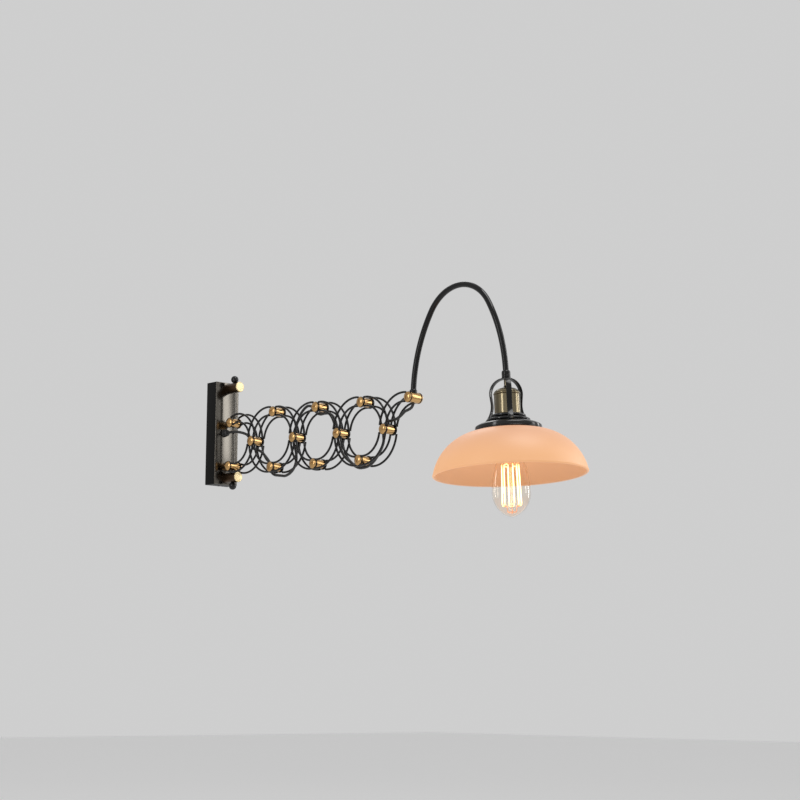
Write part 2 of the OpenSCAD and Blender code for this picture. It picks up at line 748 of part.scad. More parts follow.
module bulb_base() {
    color(brass) on_lamp() rotate_extrude() difference() {
        union() {
            translate([0, bulb_top + eps]) square([base_r, 22]);
            polygon([[0, bulb_top + 22], [base_r - 1, bulb_top + 22], [5, bulb_top + 25], [5, bulb_top + 26],
                [0, bulb_top + 26]]);
        }
        translate([0, bulb_top - 1]) square([base_r - base_wall, 20]);
    }
}

// a glass stem with a wire cage of straight strands
module bulb_filament() {
    run = filament_top - filament_low;
    lean = atan2(filament_spread - stem_r - 0.8, run);
    color([1, 0.75, 0.35]) on_lamp() {
        translate([0, 0, filament_top - 1])
            cylinder(h = bulb_top + 6 - filament_top, r1 = stem_r / 2, r2 = stem_r + 1);
        translate([0, 0, bulb_top + 4]) cylinder(h = 1.5, r = base_r - base_wall - side_gap);
        translate([0, 0, filament_low]) cylinder(h = run, r = 1);
        translate([0, 0, filament_top - 1.5]) cylinder(h = 2, r = stem_r + 1);
        translate([0, 0, filament_low - 0.5]) cylinder(h = 1.2, r = filament_spread);
        for (k = [0:filament_strands - 1]) rotate([0, 0, k * 360 / filament_strands])
            translate([stem_r, 0, filament_top]) rotate([0, 180 - lean, 0])
                cylinder(h = run / cos(lean), r = filament_r);
    }
}

// cord: a smooth tube through chosen points
function cat(p0, p1, p2, p3, t) = 0.5 * (2 * p1 + (p2 - p0) * t + (2 * p0 - 5 * p1 + 4 * p2 - p3) * t * t
    + (3 * p1 - p0 - 3 * p2 + p3) * t * t * t);
function smooth(p) = concat([for (i = [0:len(p) - 2]) for (k = [0:cord_cuts - 1])
    cat(p[max(i - 1, 0)], p[i], p[i + 1], p[min(i + 2, len(p) - 1)], k / cord_cuts)], [p[len(p) - 1]]);
function unit(v) = v / norm(v);
cord_line = smooth([for (stretch = cord_way) each stretch]);
function cord_count(k) = k == 0 ? 0 : cord_count(k - 1) + len(cord_way[k - 1]);
function cord_mark(k) = max(cord_count(k) - 1, 0) * cord_cuts;
function cord_run(i) = unit(cord_line[min(i + 1, len(cord_line) - 1)] - cord_line[max(i - 1, 0)]);
function cord_ring(c, t) = let (u = unit(cross([0, 1, 0], t)), v = cross(t, u), a = 360 / cord_sides)
    [for (k = [0:cord_sides - 1]) c + cord_r * (cos(k * a) * u + sin(k * a) * v)];

// stretch k of the cord, drawn back by a hair at both ends
module cord(k) {
    first = cord_mark(k);
    last = cord_mark(k + 1);
    m = cord_sides;
    points = [for (i = [first:last]) let (t = cord_run(i), back = i == first ? 1 : i == last ? -1 : 0)
        each cord_ring(cord_line[i] + back * run_gap * t, t)];
    walls = [for (i = [0:last - first - 1]) for (j = [0:m - 1]) each [
        [i * m + j, i * m + (j + 1) % m, (i + 1) * m + j],
        [i * m + (j + 1) % m, (i + 1) * m + (j + 1) % m, (i + 1) * m + j]]];
    caps = [[for (j = [m - 1:-1:0]) j], [for (j = [0:m - 1]) (last - first) * m + j]];
    color(black) polyhedron(points = points, faces = concat(walls, caps));
}

wall_box();
wall_bracket();
posts();
post_screws();
cover_screws();
slide_bar();
end_balls();
bar_washer();
cord_gland();
swing_sleeve();
swing_screws();
slide_sleeve();
slide_screws();
for (i = [0:cells - 1]) {
    for (k = [0, 1]) {
        rise_link(i, 2 * k - 1);
        fall_link(i, 2 * k - 1);
    }
    pivot_screws(i);
    hub_sleeves(i);
    pivot_nuts(i);
}
knuckle();
knuckle_screws();
neck_ferrule();
neck_pipe();
cage_collar();
cage();
socket_shell();
lamp_holder();
shade_cup();
shade_ring();
glass_shade();
bulb_glass();
bulb_base();
bulb_filament();
cord(0);  // cord_wall
cord(1);  // cord_fall_1
cord(2);  // cord_rise_2
cord(3);  // cord_fall_3
cord(4);  // cord_rise_4
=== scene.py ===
"""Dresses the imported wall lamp: finished pieces, materials, a stage and the camera of the photograph."""
import json
import math
import random
import bmesh
import bpy
from bpy.props import FloatProperty, FloatVectorProperty, IntProperty, PointerProperty
from mathutils import Matrix, Vector


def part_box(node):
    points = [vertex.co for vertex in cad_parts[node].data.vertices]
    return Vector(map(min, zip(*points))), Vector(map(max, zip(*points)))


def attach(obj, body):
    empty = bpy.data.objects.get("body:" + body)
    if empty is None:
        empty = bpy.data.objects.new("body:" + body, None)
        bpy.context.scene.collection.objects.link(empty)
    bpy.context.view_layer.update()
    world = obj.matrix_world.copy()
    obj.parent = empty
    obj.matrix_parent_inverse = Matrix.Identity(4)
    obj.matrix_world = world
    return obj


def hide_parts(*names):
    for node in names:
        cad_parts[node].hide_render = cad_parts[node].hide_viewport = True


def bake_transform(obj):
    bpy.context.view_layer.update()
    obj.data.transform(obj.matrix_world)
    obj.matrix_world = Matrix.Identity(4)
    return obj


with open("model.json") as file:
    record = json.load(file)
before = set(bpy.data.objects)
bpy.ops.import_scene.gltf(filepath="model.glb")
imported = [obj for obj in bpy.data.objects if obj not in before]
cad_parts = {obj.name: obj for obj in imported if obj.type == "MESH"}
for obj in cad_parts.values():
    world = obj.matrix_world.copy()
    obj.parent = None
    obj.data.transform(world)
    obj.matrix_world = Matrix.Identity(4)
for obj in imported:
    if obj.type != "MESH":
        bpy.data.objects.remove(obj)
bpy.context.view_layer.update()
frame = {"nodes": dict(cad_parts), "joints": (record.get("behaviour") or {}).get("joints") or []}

bl_info = {
    "name": "Folding arm wall lamp",
    "version": (1, 0, 0),
    "blender": (4, 5, 0),
    "location": "3D View > Sidebar > Wall lamp",
    "description": "Builds the finished pieces of a wall lamp on a folding arm",
    "category": "Object",
}

MM = 0.001
TAU = 2 * math.pi
TO_Y = Matrix.Rotation(-TAU / 4, 4, "X")
TO_MINUS_Y = Matrix.Rotation(TAU / 4, 4, "X")
TO_X = Matrix.Rotation(TAU / 4, 4, "Y")


# Places. All of them, and all shapes before they become meshes, are in millimetres.
def pivots():
    """The hubs of the arm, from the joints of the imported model."""
    at = {j["name"]: Vector(j["pos_m"]) / MM for j in frame["joints"]}
    mid = [at["cross_1"], at["cross_2"], at["cross_3"], at["cross_4"]]
    rise = at["joint_3"] - mid[1]
    fall = at["joint_2"] - mid[0]
    top = [at["top_pivot"], mid[0] + rise, at["joint_3"], mid[2] + rise, at["lamp_tilt"]]
    low = [at["arm_extend"], at["joint_2"], mid[1] + fall, at["joint_4"]]
    return low, mid, top


LOW, MID, TOP = pivots()
LAST = TOP[-1]
CELLS = len(MID)
FACE_X, BOX_WALL, BOX_EDGE = 30, 2, 1.2
POST_R, POST_Z, POST_END = 9.9, 88, 69.6
BAR_X, BAR_R, BALL_R, WASHER_R = 51.8, 2.8, 7.3, 7
ON_BAR = Matrix.Translation((BAR_X, 0, 0))
GLAND_Y, GLAND_RIBS = -6, 20
LINK_TURN = 104
WIRE_CLEAR = 9.2
FALL_Y, RISE_Y = 9.3, 13.4
FALL_PLATE, RISE_PLATE = (9.9, 11.1), (11.6, 13.0)
PLATE_R, PLATE_HOLE = 9.8, 2.4
SLEEVE_HALF, WIDE_SLEEVE_HALF = 9.6, 11.2
WIDE_HEAD_Y, SLIDE_HEAD_Y = 13.3, 11.5
NUT_R, NUT_H = 6, 4
KNUCKLE_R = 9.4
NECK_BENDS = [(260, 34), (83, 114), (275, 28.7)]
NECK_FOOT = 1


def ray(angle):
    """A unit step in the arm's plane, at an angle in degrees from +X towards +Z."""
    a = math.radians(angle)
    return Vector((math.cos(a), 0, math.sin(a)))


def neck_line(step=3):
    """The neck's centre line as points, and the heading at its end."""
    points, at, heading = [], LAST + Vector((0, 0, NECK_FOOT)), 90
    for radius, turn in NECK_BENDS:
        centre = at + radius * ray(heading - 90)
        n = max(4, round(radius * math.radians(turn) / step))
        points += [centre + radius * ray(heading + 90 - turn * k / n) for k in range(n)]
        at, heading = centre + radius * ray(heading + 90 - turn), heading - turn
    return points + [at], heading


NECK, NECK_HEADING = neck_line()
LEAN = 90 + NECK_HEADING
DOME_R, SHADE_R, SHADE_WALL = 87.7, 128.5, 4
DOME_Z = -14
DOME_X = SHADE_R - math.sqrt(DOME_R**2 - DOME_Z**2)


def dome_z(r, inset=0):
    """Height of the shade's rounded wall above its rim, at radius r."""
    return DOME_Z + math.sqrt((DOME_R - inset) ** 2 - (r - DOME_X) ** 2)


CUP_R, CUP_H, CUP_WALL = 55.5, 9, 1.6
CUP_Z = dome_z(CUP_R - CUP_WALL) + 0.1
CROWN_Z = CUP_Z + CUP_H + 3
RING_LOW_R, RING_TOP_R = 37, 30
RING_LOW_Z = CROWN_Z + 3
RING_TOP_Z = RING_LOW_Z + 7
CAP_Z = RING_TOP_Z + 5
SOCKET_R, SOCKET_H, BEAD_R = 21.8, 34, 2.5
BEAD_Z = CAP_Z + SOCKET_H
CONE_Z = BEAD_Z + 2 * BEAD_R
CAGE_Z = CONE_Z + 22
STRAP_W, STRAP_T, STRAP_BEND, STRAP_FLARE = 9, 2, 24, 36
STRAP_REACH, STRAP_DROP = 58, 19.7
STRAP_FOOT, STRAP_PHASE = 70, -39
COLLAR_Z = CAGE_Z + STRAP_T
PIPE_Z = COLLAR_Z + 6.5
HOLDER_R = 18.6
HOLDER_LOW = CAP_Z + SOCKET_H - 6 - 72
BULB_NECK_R, BULB_WALL = 12.7, 1.2
BULB_TOP = HOLDER_LOW + 1
BULB_LOW, BULB_TIP = 31, 69.5
WICK_TOP, WICK_LOW = 16, -50
WICK_TOP_R, WICK_LOW_R = 14.5, 16.3
WICK_R, WICK_BEND = 0.8, 1.8
HIGH_HOOK_R, LOW_HOOK_R = 0.35, 0.6
LAMP_TURN = Matrix.Rotation(math.radians(-LEAN), 4, "Y")
ON_LAMP = Matrix.Translation(NECK[-1]) @ LAMP_TURN @ Matrix.Translation((0, 0, -PIPE_Z))


# Nodes of materials and of geometry trees.
class Value:
    """A socket that works in Python sums: each operator adds its Math node."""

    def __init__(self, sheet, socket):
        self.sheet, self.socket = sheet, socket

    def math(self, operation, *others):
        node = self.sheet.node("ShaderNodeMath", {"operation": operation}, dict(enumerate((self, *others))))
        return Value(self.sheet, node.outputs[0])

    def __add__(self, other):
        return self.math("ADD", other)

    def __sub__(self, other):
        return self.math("SUBTRACT", other)

    def __mul__(self, other):
        return self.math("MULTIPLY", other)

    def __truediv__(self, other):
        return self.math("DIVIDE", other)

    def __rsub__(self, other):
        return self * -1 + other

    __radd__, __rmul__ = __add__, __mul__

    def rises(self, low, high):
        """0 below low, 1 above high, smooth between them."""
        node = self.sheet.node(
            "ShaderNodeMapRange",
            {"interpolation_type": "SMOOTHSTEP"},
            {"Value": self, "From Min": low, "From Max": high},
        )
        return Value(self.sheet, node.outputs[0])

    def sine(self):
        return self.math("SINE")

    def root(self):
        return self.math("SQRT")


class Sheet:
    """A node tree that is filled by calls of one method."""

    def __init__(self, tree):
        self.tree = tree

    def node(self, kind, settings=None, inputs=None):
        made = self.tree.nodes.new(kind)
        for key, value in (settings or {}).items():
            if key == "stops":
                ramp = made.color_ramp.elements
                while len(ramp) < len(value):
                    ramp.new(1)
                for element, (place, colour) in zip(ramp, value):
                    element.position, element.color = place, (*colour, 1)
            else:
                setattr(made, key, value)
        for key, value in (inputs or {}).items():
            socket = made.inputs[key]
            value = value.socket if isinstance(value, Value) else value
            if isinstance(value, bpy.types.NodeSocket):
                self.tree.links.new(value, socket)
            elif socket.type == "RGBA" and len(value) == 3:
                socket.default_value = (*value, 1)
            else:
                socket.default_value = value
        return made


class Finish(Sheet):
    """A material under construction. Lengths are in metres, as Object coordinates are."""

    def __init__(self, name):
        self.material = bpy.data.materials.new(name)
        self.material.use_nodes = True
        super().__init__(self.material.node_tree)
        self.tree.nodes.clear()
        self.where = self.node("ShaderNodeTexCoord")

    def place(self):
        return self.where.outputs["Object"]

    def axes(self, vector=None):
        node = self.node("ShaderNodeSeparateXYZ", None, {0: vector or self.place()})
        return [Value(self, node.outputs[k]) for k in range(3)]

    def turned(self, matrix_mm):
        """Object coordinates in the frame of a placed piece, in metres."""
        place = matrix_mm.copy()
        place.translation *= MM
        inverse = place.inverted()
        node = self.node(
            "ShaderNodeMapping",
            {"vector_type": "POINT"},
            {0: self.place(), 1: inverse.translation, 2: inverse.to_euler()},
        )
        return node.outputs[0]

    def grain(self, scale, stretch=(1, 1, 1), detail=3, rough=0.5, vector=None):
        """Noise from 0 to 1, with features of about 1 / scale metres, stretched along the axes."""
        mapping = self.node(
            "ShaderNodeMapping", {"vector_type": "POINT"}, {0: vector or self.place(), 3: stretch}
        )
        noise = self.node(
            "ShaderNodeTexNoise",
            None,
            {"Vector": mapping.outputs[0], "Scale": scale, "Detail": detail, "Roughness": rough},
        )
        return Value(self, noise.outputs[0])

    def mix(self, share, a, b):
        node = self.node("ShaderNodeMix", {"data_type": "RGBA"}, {0: share, 6: a, 7: b})
        return node.outputs[2]

    def bump(self, height, strength, depth_mm):
        inputs = {"Height": height, "Strength": strength, "Distance": depth_mm * MM}
        return self.node("ShaderNodeBump", None, inputs).outputs[0]

    def done(self, **sockets):
        inputs = {key.replace("_", " "): value for key, value in sockets.items()}
        shader = self.node("ShaderNodeBsdfPrincipled", None, inputs)
        self.node("ShaderNodeOutputMaterial", None, {0: shader.outputs[0]})
        return self.material


def toned(colour, share):
    """A colour made darker or paler."""
    return tuple(c * share for c in colour)


FINISHES = {}


def finish(name):
    """The material of that name, made at its first use."""
    if name not in FINISHES:
        maker = next(maker for maker in MAKERS if maker.__name__ == name)
        FINISHES[name] = maker(Finish(name), bpy.context.scene.lamp_finishes)
    return FINISHES[name]


def satin_black(f, look):
    """Satin paint of the wires and straps, with small worn spots."""
    spots = f.grain(90, detail=4)
    worn = f.grain(420, detail=2).rises(0.62, 0.78)
    base = f.mix(spots, look.black, toned(look.black, 1.7))
    base = f.mix(worn * 0.25, base, (0.03, 0.023, 0.018))
    return f.done(
        Base_Color=base,
        Roughness=0.13 + spots * 0.06 + worn * 0.1,
        Specular_IOR_Level=0.3,
        Normal=f.bump(f.grain(900, detail=2), 0.03, 0.05),
    )


def gloss_black(f, look):
    """Glossy enamel of the balls on the bar."""
    spots = f.grain(160)
    return f.done(
        Base_Color=f.mix(spots, look.black, toned(look.black, 1.5)),
        Roughness=0.08 + spots * 0.08,
        Specular_IOR_Level=0.35,
        Normal=f.bump(f.grain(900), 0.05, 0.05),
    )


def black_nickel(f, look):
    """Near black nickel, lightly rubbed."""
    spots = f.grain(55, detail=4)
    rubbed = f.grain(300, stretch=(1, 1, 5), detail=2)
    return f.done(
        Base_Color=f.mix(spots, (0.03, 0.03, 0.032), (0.052, 0.051, 0.049)),
        Metallic=0.9,
        Roughness=0.11 + rubbed * 0.07,
        Normal=f.bump(f.grain(900), 0.03, 0.04),
    )


def pipe_black(f, look):
    """Glossy black lacquer of the bent pipe."""
    spots = f.grain(70, detail=4)
    return f.done(
        Base_Color=f.mix(spots, look.black, toned(look.black, 1.6)),
        Roughness=0.07 + spots * 0.05,
        Specular_IOR_Level=0.3,
        Normal=f.bump(f.grain(900), 0.02, 0.04),
    )


def brass(f, look):
    """Warm lacquered brass, cloudy, with dull spots."""
    cloud = f.grain(60, detail=3)
    dull = f.grain(150, detail=3).rises(0.58, 0.8)
    base = f.mix(cloud * 0.7, look.brass, toned(look.brass, 0.72))
    base = f.mix(dull * 0.2, base, look.brass_dull)
    return f.done(
        Base_Color=base,
        Metallic=1.0,
        Roughness=0.15 + cloud * 0.06 + dull * 0.06,
        Normal=f.bump(f.grain(900), 0.02, 0.04),
    )


def post_brass(f, look):
    """Brass with dark sides and a bright turned end."""
    x, y, z = f.axes()
    end = x.rises((POST_END - 1.1) * MM, (POST_END - 0.5) * MM)
    high = z.math("ABSOLUTE") - POST_Z * MM
    ring = ((y * y + high * high).root() * 5200).sine()
    cloud = f.grain(80, detail=4)
    side = f.mix(cloud, (0.085, 0.05, 0.025), (0.045, 0.025, 0.012))
    return f.done(
        Base_Color=f.mix(end, side, f.mix(cloud, (0.8, 0.68, 0.43), (0.68, 0.52, 0.27))),
        Metallic=1.0,
        Roughness=0.3 + cloud * 0.12 + end * 0.06,
        Normal=f.bump(ring * end * 0.6 + f.grain(1200) * 0.5, 0.12, 0.05),
    )


def aged_brass(f, look):
    """Brown-green brass of the socket, with streaks down it that bump the surface; their light and dark
    bands are partly painted highlight.
    """
    at = f.turned(ON_LAMP)
    # Streaks down the socket: real relief through the bump, and a painted highlight in their lighter bands.
    streak_and_sheen = f.grain(75, stretch=(1, 1, 0.08), detail=4, vector=at).rises(0.36, 0.66)
    cloud = f.grain(90, detail=4)
    dark = f.grain(120, detail=3).rises(0.52, 0.78)
    base = f.mix(streak_and_sheen, toned(look.aged, 0.4), look.aged)
    base = f.mix(dark * 0.25, base, (0.06, 0.045, 0.026))
    return f.done(
        Base_Color=base,
        Metallic=0.95,
        Roughness=0.16 + cloud * 0.06 + dark * 0.08,
        Normal=f.bump(streak_and_sheen, 0.04, 0.05),
    )


def box_metal(f, look):
    """Sheet metal: an upright brush on the face, black satin paint on the sides."""
    x = f.axes()[0]
    face = x.rises((FACE_X - 1.6) * MM, (FACE_X - 0.7) * MM)
    brush = f.grain(40, stretch=(1, 60, 1.2), detail=5, rough=0.65)
    fine = f.grain(1400, detail=2)
    steel = f.mix(brush, toned(look.steel, 0.6), look.steel)
    paint = f.mix(f.grain(90), toned(look.black, 0.6), toned(look.black, 1.2))
    return f.done(
        Base_Color=f.mix(face, paint, steel),
        Metallic=face,
        Roughness=0.36 - face * 0.25 + brush * face * 0.1 + fine * 0.03,
        Specular_IOR_Level=0.12,
        Normal=f.bump(brush * face * 0.5 + fine * 0.2, 0.05, 0.05),
    )


def dark_steel(f, look):
    """Dark steel, drawn lengthwise."""
    brush = f.grain(50, stretch=(30, 30, 1), detail=4)
    return f.done(
        Base_Color=f.mix(brush, (0.07, 0.065, 0.057), (0.15, 0.14, 0.125)),
        Metallic=1.0,
        Roughness=0.1 + brush * 0.08,
        Normal=f.bump(brush, 0.08, 0.04),
    )


def zinc(f, look):
    """Zinc plating of the bracket and the screws, with flakes."""
    flakes = f.node("ShaderNodeTexVoronoi", None, {"Vector": f.place(), "Scale": 260}).outputs[0]
    tone = Value(f, flakes)
    return f.done(
        Base_Color=f.mix(tone, (0.42, 0.42, 0.43), (0.62, 0.61, 0.58)),
        Metallic=0.9,
        Roughness=0.34 + tone * 0.2,
        Normal=f.bump(f.grain(900), 0.1, 0.05),
    )


def nickel(f, look):
    """Nickel plating of the bulb's cap."""
    cloud = f.grain(120, detail=3)
    return f.done(
        Base_Color=f.mix(cloud, (0.62, 0.58, 0.5), (0.74, 0.71, 0.64)),
        Metallic=1.0,
        Roughness=0.16 + cloud * 0.14,
        Normal=f.bump(f.grain(900), 0.06, 0.05),
    )


def black_plastic(f, look):
    """Moulded plastic of the gland, the holder and the shade ring."""
    spots = f.grain(140)
    return f.done(
        Base_Color=f.mix(spots, (0.014, 0.014, 0.015), (0.03, 0.029, 0.028)),
        Roughness=0.42 + spots * 0.14,
        Normal=f.bump(f.grain(3200), 0.2, 0.06),
    )


def cord_sleeve(f, look):
    """Black sleeve with a fine braid, which follows the cord by its own map."""
    uv = f.where.outputs["UV"]
    round_, along = f.axes(uv)[:2]
    lay = ((round_ * 8 + along * 420) * TAU).sine()
    cross = ((round_ * 8 - along * 420) * TAU).sine()
    weave = lay * cross * 0.5 + 0.5
    tone = f.grain(200)
    return f.done(
        Base_Color=f.mix(weave, (0.006, 0.006, 0.006), (0.026, 0.025, 0.024)),
        Roughness=0.4 + weave * 0.14 + tone * 0.08,
        Sheen_Weight=0.15,
        Sheen_Roughness=0.4,
        Normal=f.bump(weave, 0.35, 0.15),
    )


def opal_glass(f, look):
    """Cream opal glass with a painted glow: an emission that stands for the bulb's light through it.
    Outside it is warmer low down, inside it brightens upwards.
    """
    x, y, z = f.axes(f.turned(ON_LAMP))
    r = (x * x + y * y).root()
    off = r - DOME_X * MM
    up = z - DOME_Z * MM
    from_middle = (off * off + up * up).root()
    outside = from_middle.rises((DOME_R - 3.4) * MM, (DOME_R - 0.8) * MM)
    # Painted glow: the emission colour stands for the bulb's light through the glass, warmer low down
    # outside and brightening upwards inside.
    warm = 1 - z.rises(8 * MM, 74 * MM)
    cloud = f.grain(22, detail=3, rough=0.4)
    shell = f.mix(warm * 0.85 + cloud * 0.15, look.glow_high, look.glow_low)
    inner = f.mix(z.rises(0, 60 * MM), look.glow_inside, toned(look.glow_inside, 1.35))
    return f.done(
        Base_Color=f.mix(cloud, look.opal, toned(look.opal, 0.96)),
        Roughness=0.38 + cloud * 0.08,
        Specular_IOR_Level=0.3,
        Emission_Color=f.mix(outside, inner, shell),
        Emission_Strength=look.glow,
        Normal=f.bump(f.grain(60, detail=2), 0.05, 0.3),
    )


def bulb_glass(f, look):
    """Clear, slightly warm glass of the bulb."""
    cloud = f.grain(40)
    return f.done(
        Base_Color=f.mix(cloud, (0.99, 0.93, 0.86), (1.0, 0.96, 0.91)),
        Roughness=0.01 + cloud * 0.01,
        IOR=1.4,
        Transmission_Weight=1.0,
        Normal=f.bump(f.grain(35, detail=1), 0.03, 0.3),
    )


def stem_glass(f, look):
    """Clear glass of the rod inside the bulb."""
    cloud = f.grain(300)
    return f.done(
        Base_Color=f.mix(cloud, (0.95, 0.9, 0.84), (1.0, 0.97, 0.93)),
        Roughness=0.04 + cloud * 0.03,
        IOR=1.3,
        Transmission_Weight=1.0,
    )


def lit_wire(f, look):
    """The glowing wire, coiled, and redder at its two ends."""
    z = f.axes(f.turned(ON_LAMP))[2]
    ends = z.rises((WICK_TOP - 8) * MM, WICK_TOP * MM) + (1 - z.rises(WICK_LOW * MM, (WICK_LOW + 8) * MM))
    coil = (z * 9000).sine() * 0.5 + 0.5
    glow = f.mix(ends * 0.7 + coil * 0.12, (1.0, 0.74, 0.36), (1.0, 0.42, 0.12))
    return f.done(
        Base_Color=f.mix(coil, (0.3, 0.2, 0.1), (0.5, 0.3, 0.14)),
        Roughness=0.5 + coil * 0.2,
        Emission_Color=glow,
        Emission_Strength=look.wick,
    )


def copper_wire(f, look):
    """Copper of the hooks, with a faint painted glow."""
    tone = f.grain(500)
    return f.done(
        Base_Color=f.mix(tone, (0.85, 0.38, 0.2), (0.95, 0.5, 0.3)),
        Metallic=1.0,
        Roughness=0.25 + tone * 0.15,
        # Painted glow: the hooks are given a faint light of their own.
        Emission_Color=f.mix(tone, (1.0, 0.4, 0.2), (1.0, 0.5, 0.28)),
        Emission_Strength=0.35,
    )


MAKERS = (
    satin_black, gloss_black, black_nickel, pipe_black, brass, post_brass, aged_brass, box_metal,
    dark_steel, zinc, nickel, black_plastic, cord_sleeve, opal_glass, bulb_glass, stem_glass,
    lit_wire, copper_wire,
)


# Shapes. A shape is a list of points in millimetres and a list of faces.
def around(count):
    """Angles evenly round a circle."""
    return [TAU * k / count for k in range(count)]


def softened(outline, amount, closed=True, steps=4):
    """An outline with its corners rounded."""
    out, n = [], len(outline)
    for i, p in enumerate(outline):
        p = Vector(p)
        if p.x < 1e-6 or (not closed and i in (0, n - 1)):
            out.append(tuple(p))
            continue
        a, b = Vector(outline[i - 1]), Vector(outline[(i + 1) % n])
        reach = min(amount, (a - p).length * 0.45, (b - p).length * 0.45)
        s, e = p + (a - p).normalized() * reach, p + (b - p).normalized() * reach
        for k in range(steps + 1):
            t = k / steps
            out.append(tuple(s * (1 - t) ** 2 + p * 2 * t * (1 - t) + e * t * t))
    return out


def revolved(outline, turns=64, closed=False):
    """The outline, points (radius, height), turned round the Z axis. A closed one is a ring's section."""
    points, faces, rings = [], [], []
    for r, z in outline:
        if r < 1e-6:
            rings.append([len(points)])
            points.append((0, 0, z))
        else:
            rings.append(list(range(len(points), len(points) + turns)))
            points += [(r * math.cos(a), r * math.sin(a), z) for a in around(turns)]
    pairs = list(zip(rings, rings[1:])) + ([(rings[-1], rings[0])] if closed else [])
    for a, b in pairs:
        for k in range(turns):
            j = (k + 1) % turns
            face = [a[k % len(a)], a[j % len(a)], b[j % len(b)], b[k % len(b)]]
            face = list(dict.fromkeys(face))
            if len(face) > 2:
                faces.append(face)
    return points, faces


def half_round(r_out, z, h, steps=8):
    """Points of a half-round bead from its low edge to its high edge."""
    e = h / 2
    return [
        (r_out - e + e * math.cos(a), z + e + e * math.sin(a))
        for a in (math.pi * (k / steps - 0.5) for k in range(steps + 1))
    ]


def joined(*shapes):
    points, faces = [], []
    for some, sides in shapes:
        base = len(points)
        points += some
        faces += [[base + i for i in side] for side in sides]
    return points, faces


def moved(shape, matrix):
    return [tuple(matrix @ Vector(p)) for p in shape[0]], shape[1]


def swept(path, section):
    """A section, points (out, across), swept along a path in the plane y = 0, with closed ends."""
    points, faces, m = [], [], len(section)
    for i, p in enumerate(path):
        t = (path[min(i + 1, len(path) - 1)] - path[max(i - 1, 0)]).normalized()
        out = Vector((t.z, 0, -t.x))
        points += [tuple(p + out * u + Vector((0, v, 0))) for u, v in section]
    for i in range(len(path) - 1):
        for k in range(m):
            j = (k + 1) % m
            faces.append([i * m + k, i * m + j, (i + 1) * m + j, (i + 1) * m + k])
    return points, faces + [list(range(m)), [(len(path) - 1) * m + k for k in range(m)]]


def rounded_box(low, high, edge, steps=3):
    """A box with rounded edges, as a mesh in the making."""
    made = bmesh.new()
    bmesh.ops.create_cube(made, size=1)
    size, middle = Vector(high) - Vector(low), (Vector(high) + Vector(low)) / 2
    for v in made.verts:
        v.co = Vector(a * b for a, b in zip(v.co, size)) + middle
    bmesh.ops.bevel(made, geom=made.edges[:], offset=edge, segments=steps, profile=0.5, affect="EDGES")
    made.verts.ensure_lookup_table()
    shape = [tuple(v.co) for v in made.verts], [[v.index for v in f.verts] for f in made.faces]
    made.free()
    return shape


def as_mesh(name, shape, sharp=35):
    """The shape as a smooth mesh in metres, with its faces pointing outwards."""
    mesh = bpy.data.meshes.new(name)
    mesh.from_pydata([tuple(c * MM for c in p) for p in shape[0]], [], shape[1])
    work = bmesh.new()
    work.from_mesh(mesh)
    bmesh.ops.remove_doubles(work, verts=work.verts[:], dist=1e-7)
    bmesh.ops.recalc_face_normals(work, faces=work.faces[:])
    work.to_mesh(mesh)
    work.free()
    smooth(mesh, sharp)
    return mesh


def smooth(mesh, sharp=35):
    mesh.polygons.foreach_set("use_smooth", [True] * len(mesh.polygons))
    mesh.set_sharp_from_angle(angle=math.radians(sharp))
    mesh.update()


def show(name, mesh, coat, body, stands_for=(), slot=None):
    """Puts a finished mesh in the scene on a body, in place of the nodes that it stands for."""
    piece = bpy.data.objects.new(name, mesh)
    bpy.context.scene.collection.objects.link(piece)
    mesh.materials.clear()
    mesh.materials.append(finish(coat))
    if body:
        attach(piece, body)
    if stands_for:
        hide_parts(*stands_for)
    return piece


def shape_piece(name, shape, coat, body, stands_for, slot, sharp=35):
    """Shows a shape as one piece."""
    show(name, as_mesh(name, shape, sharp), coat, body, stands_for, slot)


def spread_piece(name, shape, spots, coat, body, stands_for, slot, sharp=35):
    """Shows copies of a shape on spots as one piece."""
    show(name, spread(name, shape, spots, coat, sharp), coat, body, stands_for, slot)


def from_node(node, coat, body, slot=None, sharp=32):
    """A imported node's shape with smooth faces, as a piece that stands for it."""
    mesh = frame["nodes"][node].data.copy()
    work = bmesh.new()
    work.from_mesh(mesh)
    bmesh.ops.remove_doubles(work, verts=work.verts[:], dist=1e-6)
    work.to_mesh(mesh)
    work.free()
    smooth(mesh, sharp)
    return show(node + "_piece", mesh, coat, body, [node], slot)


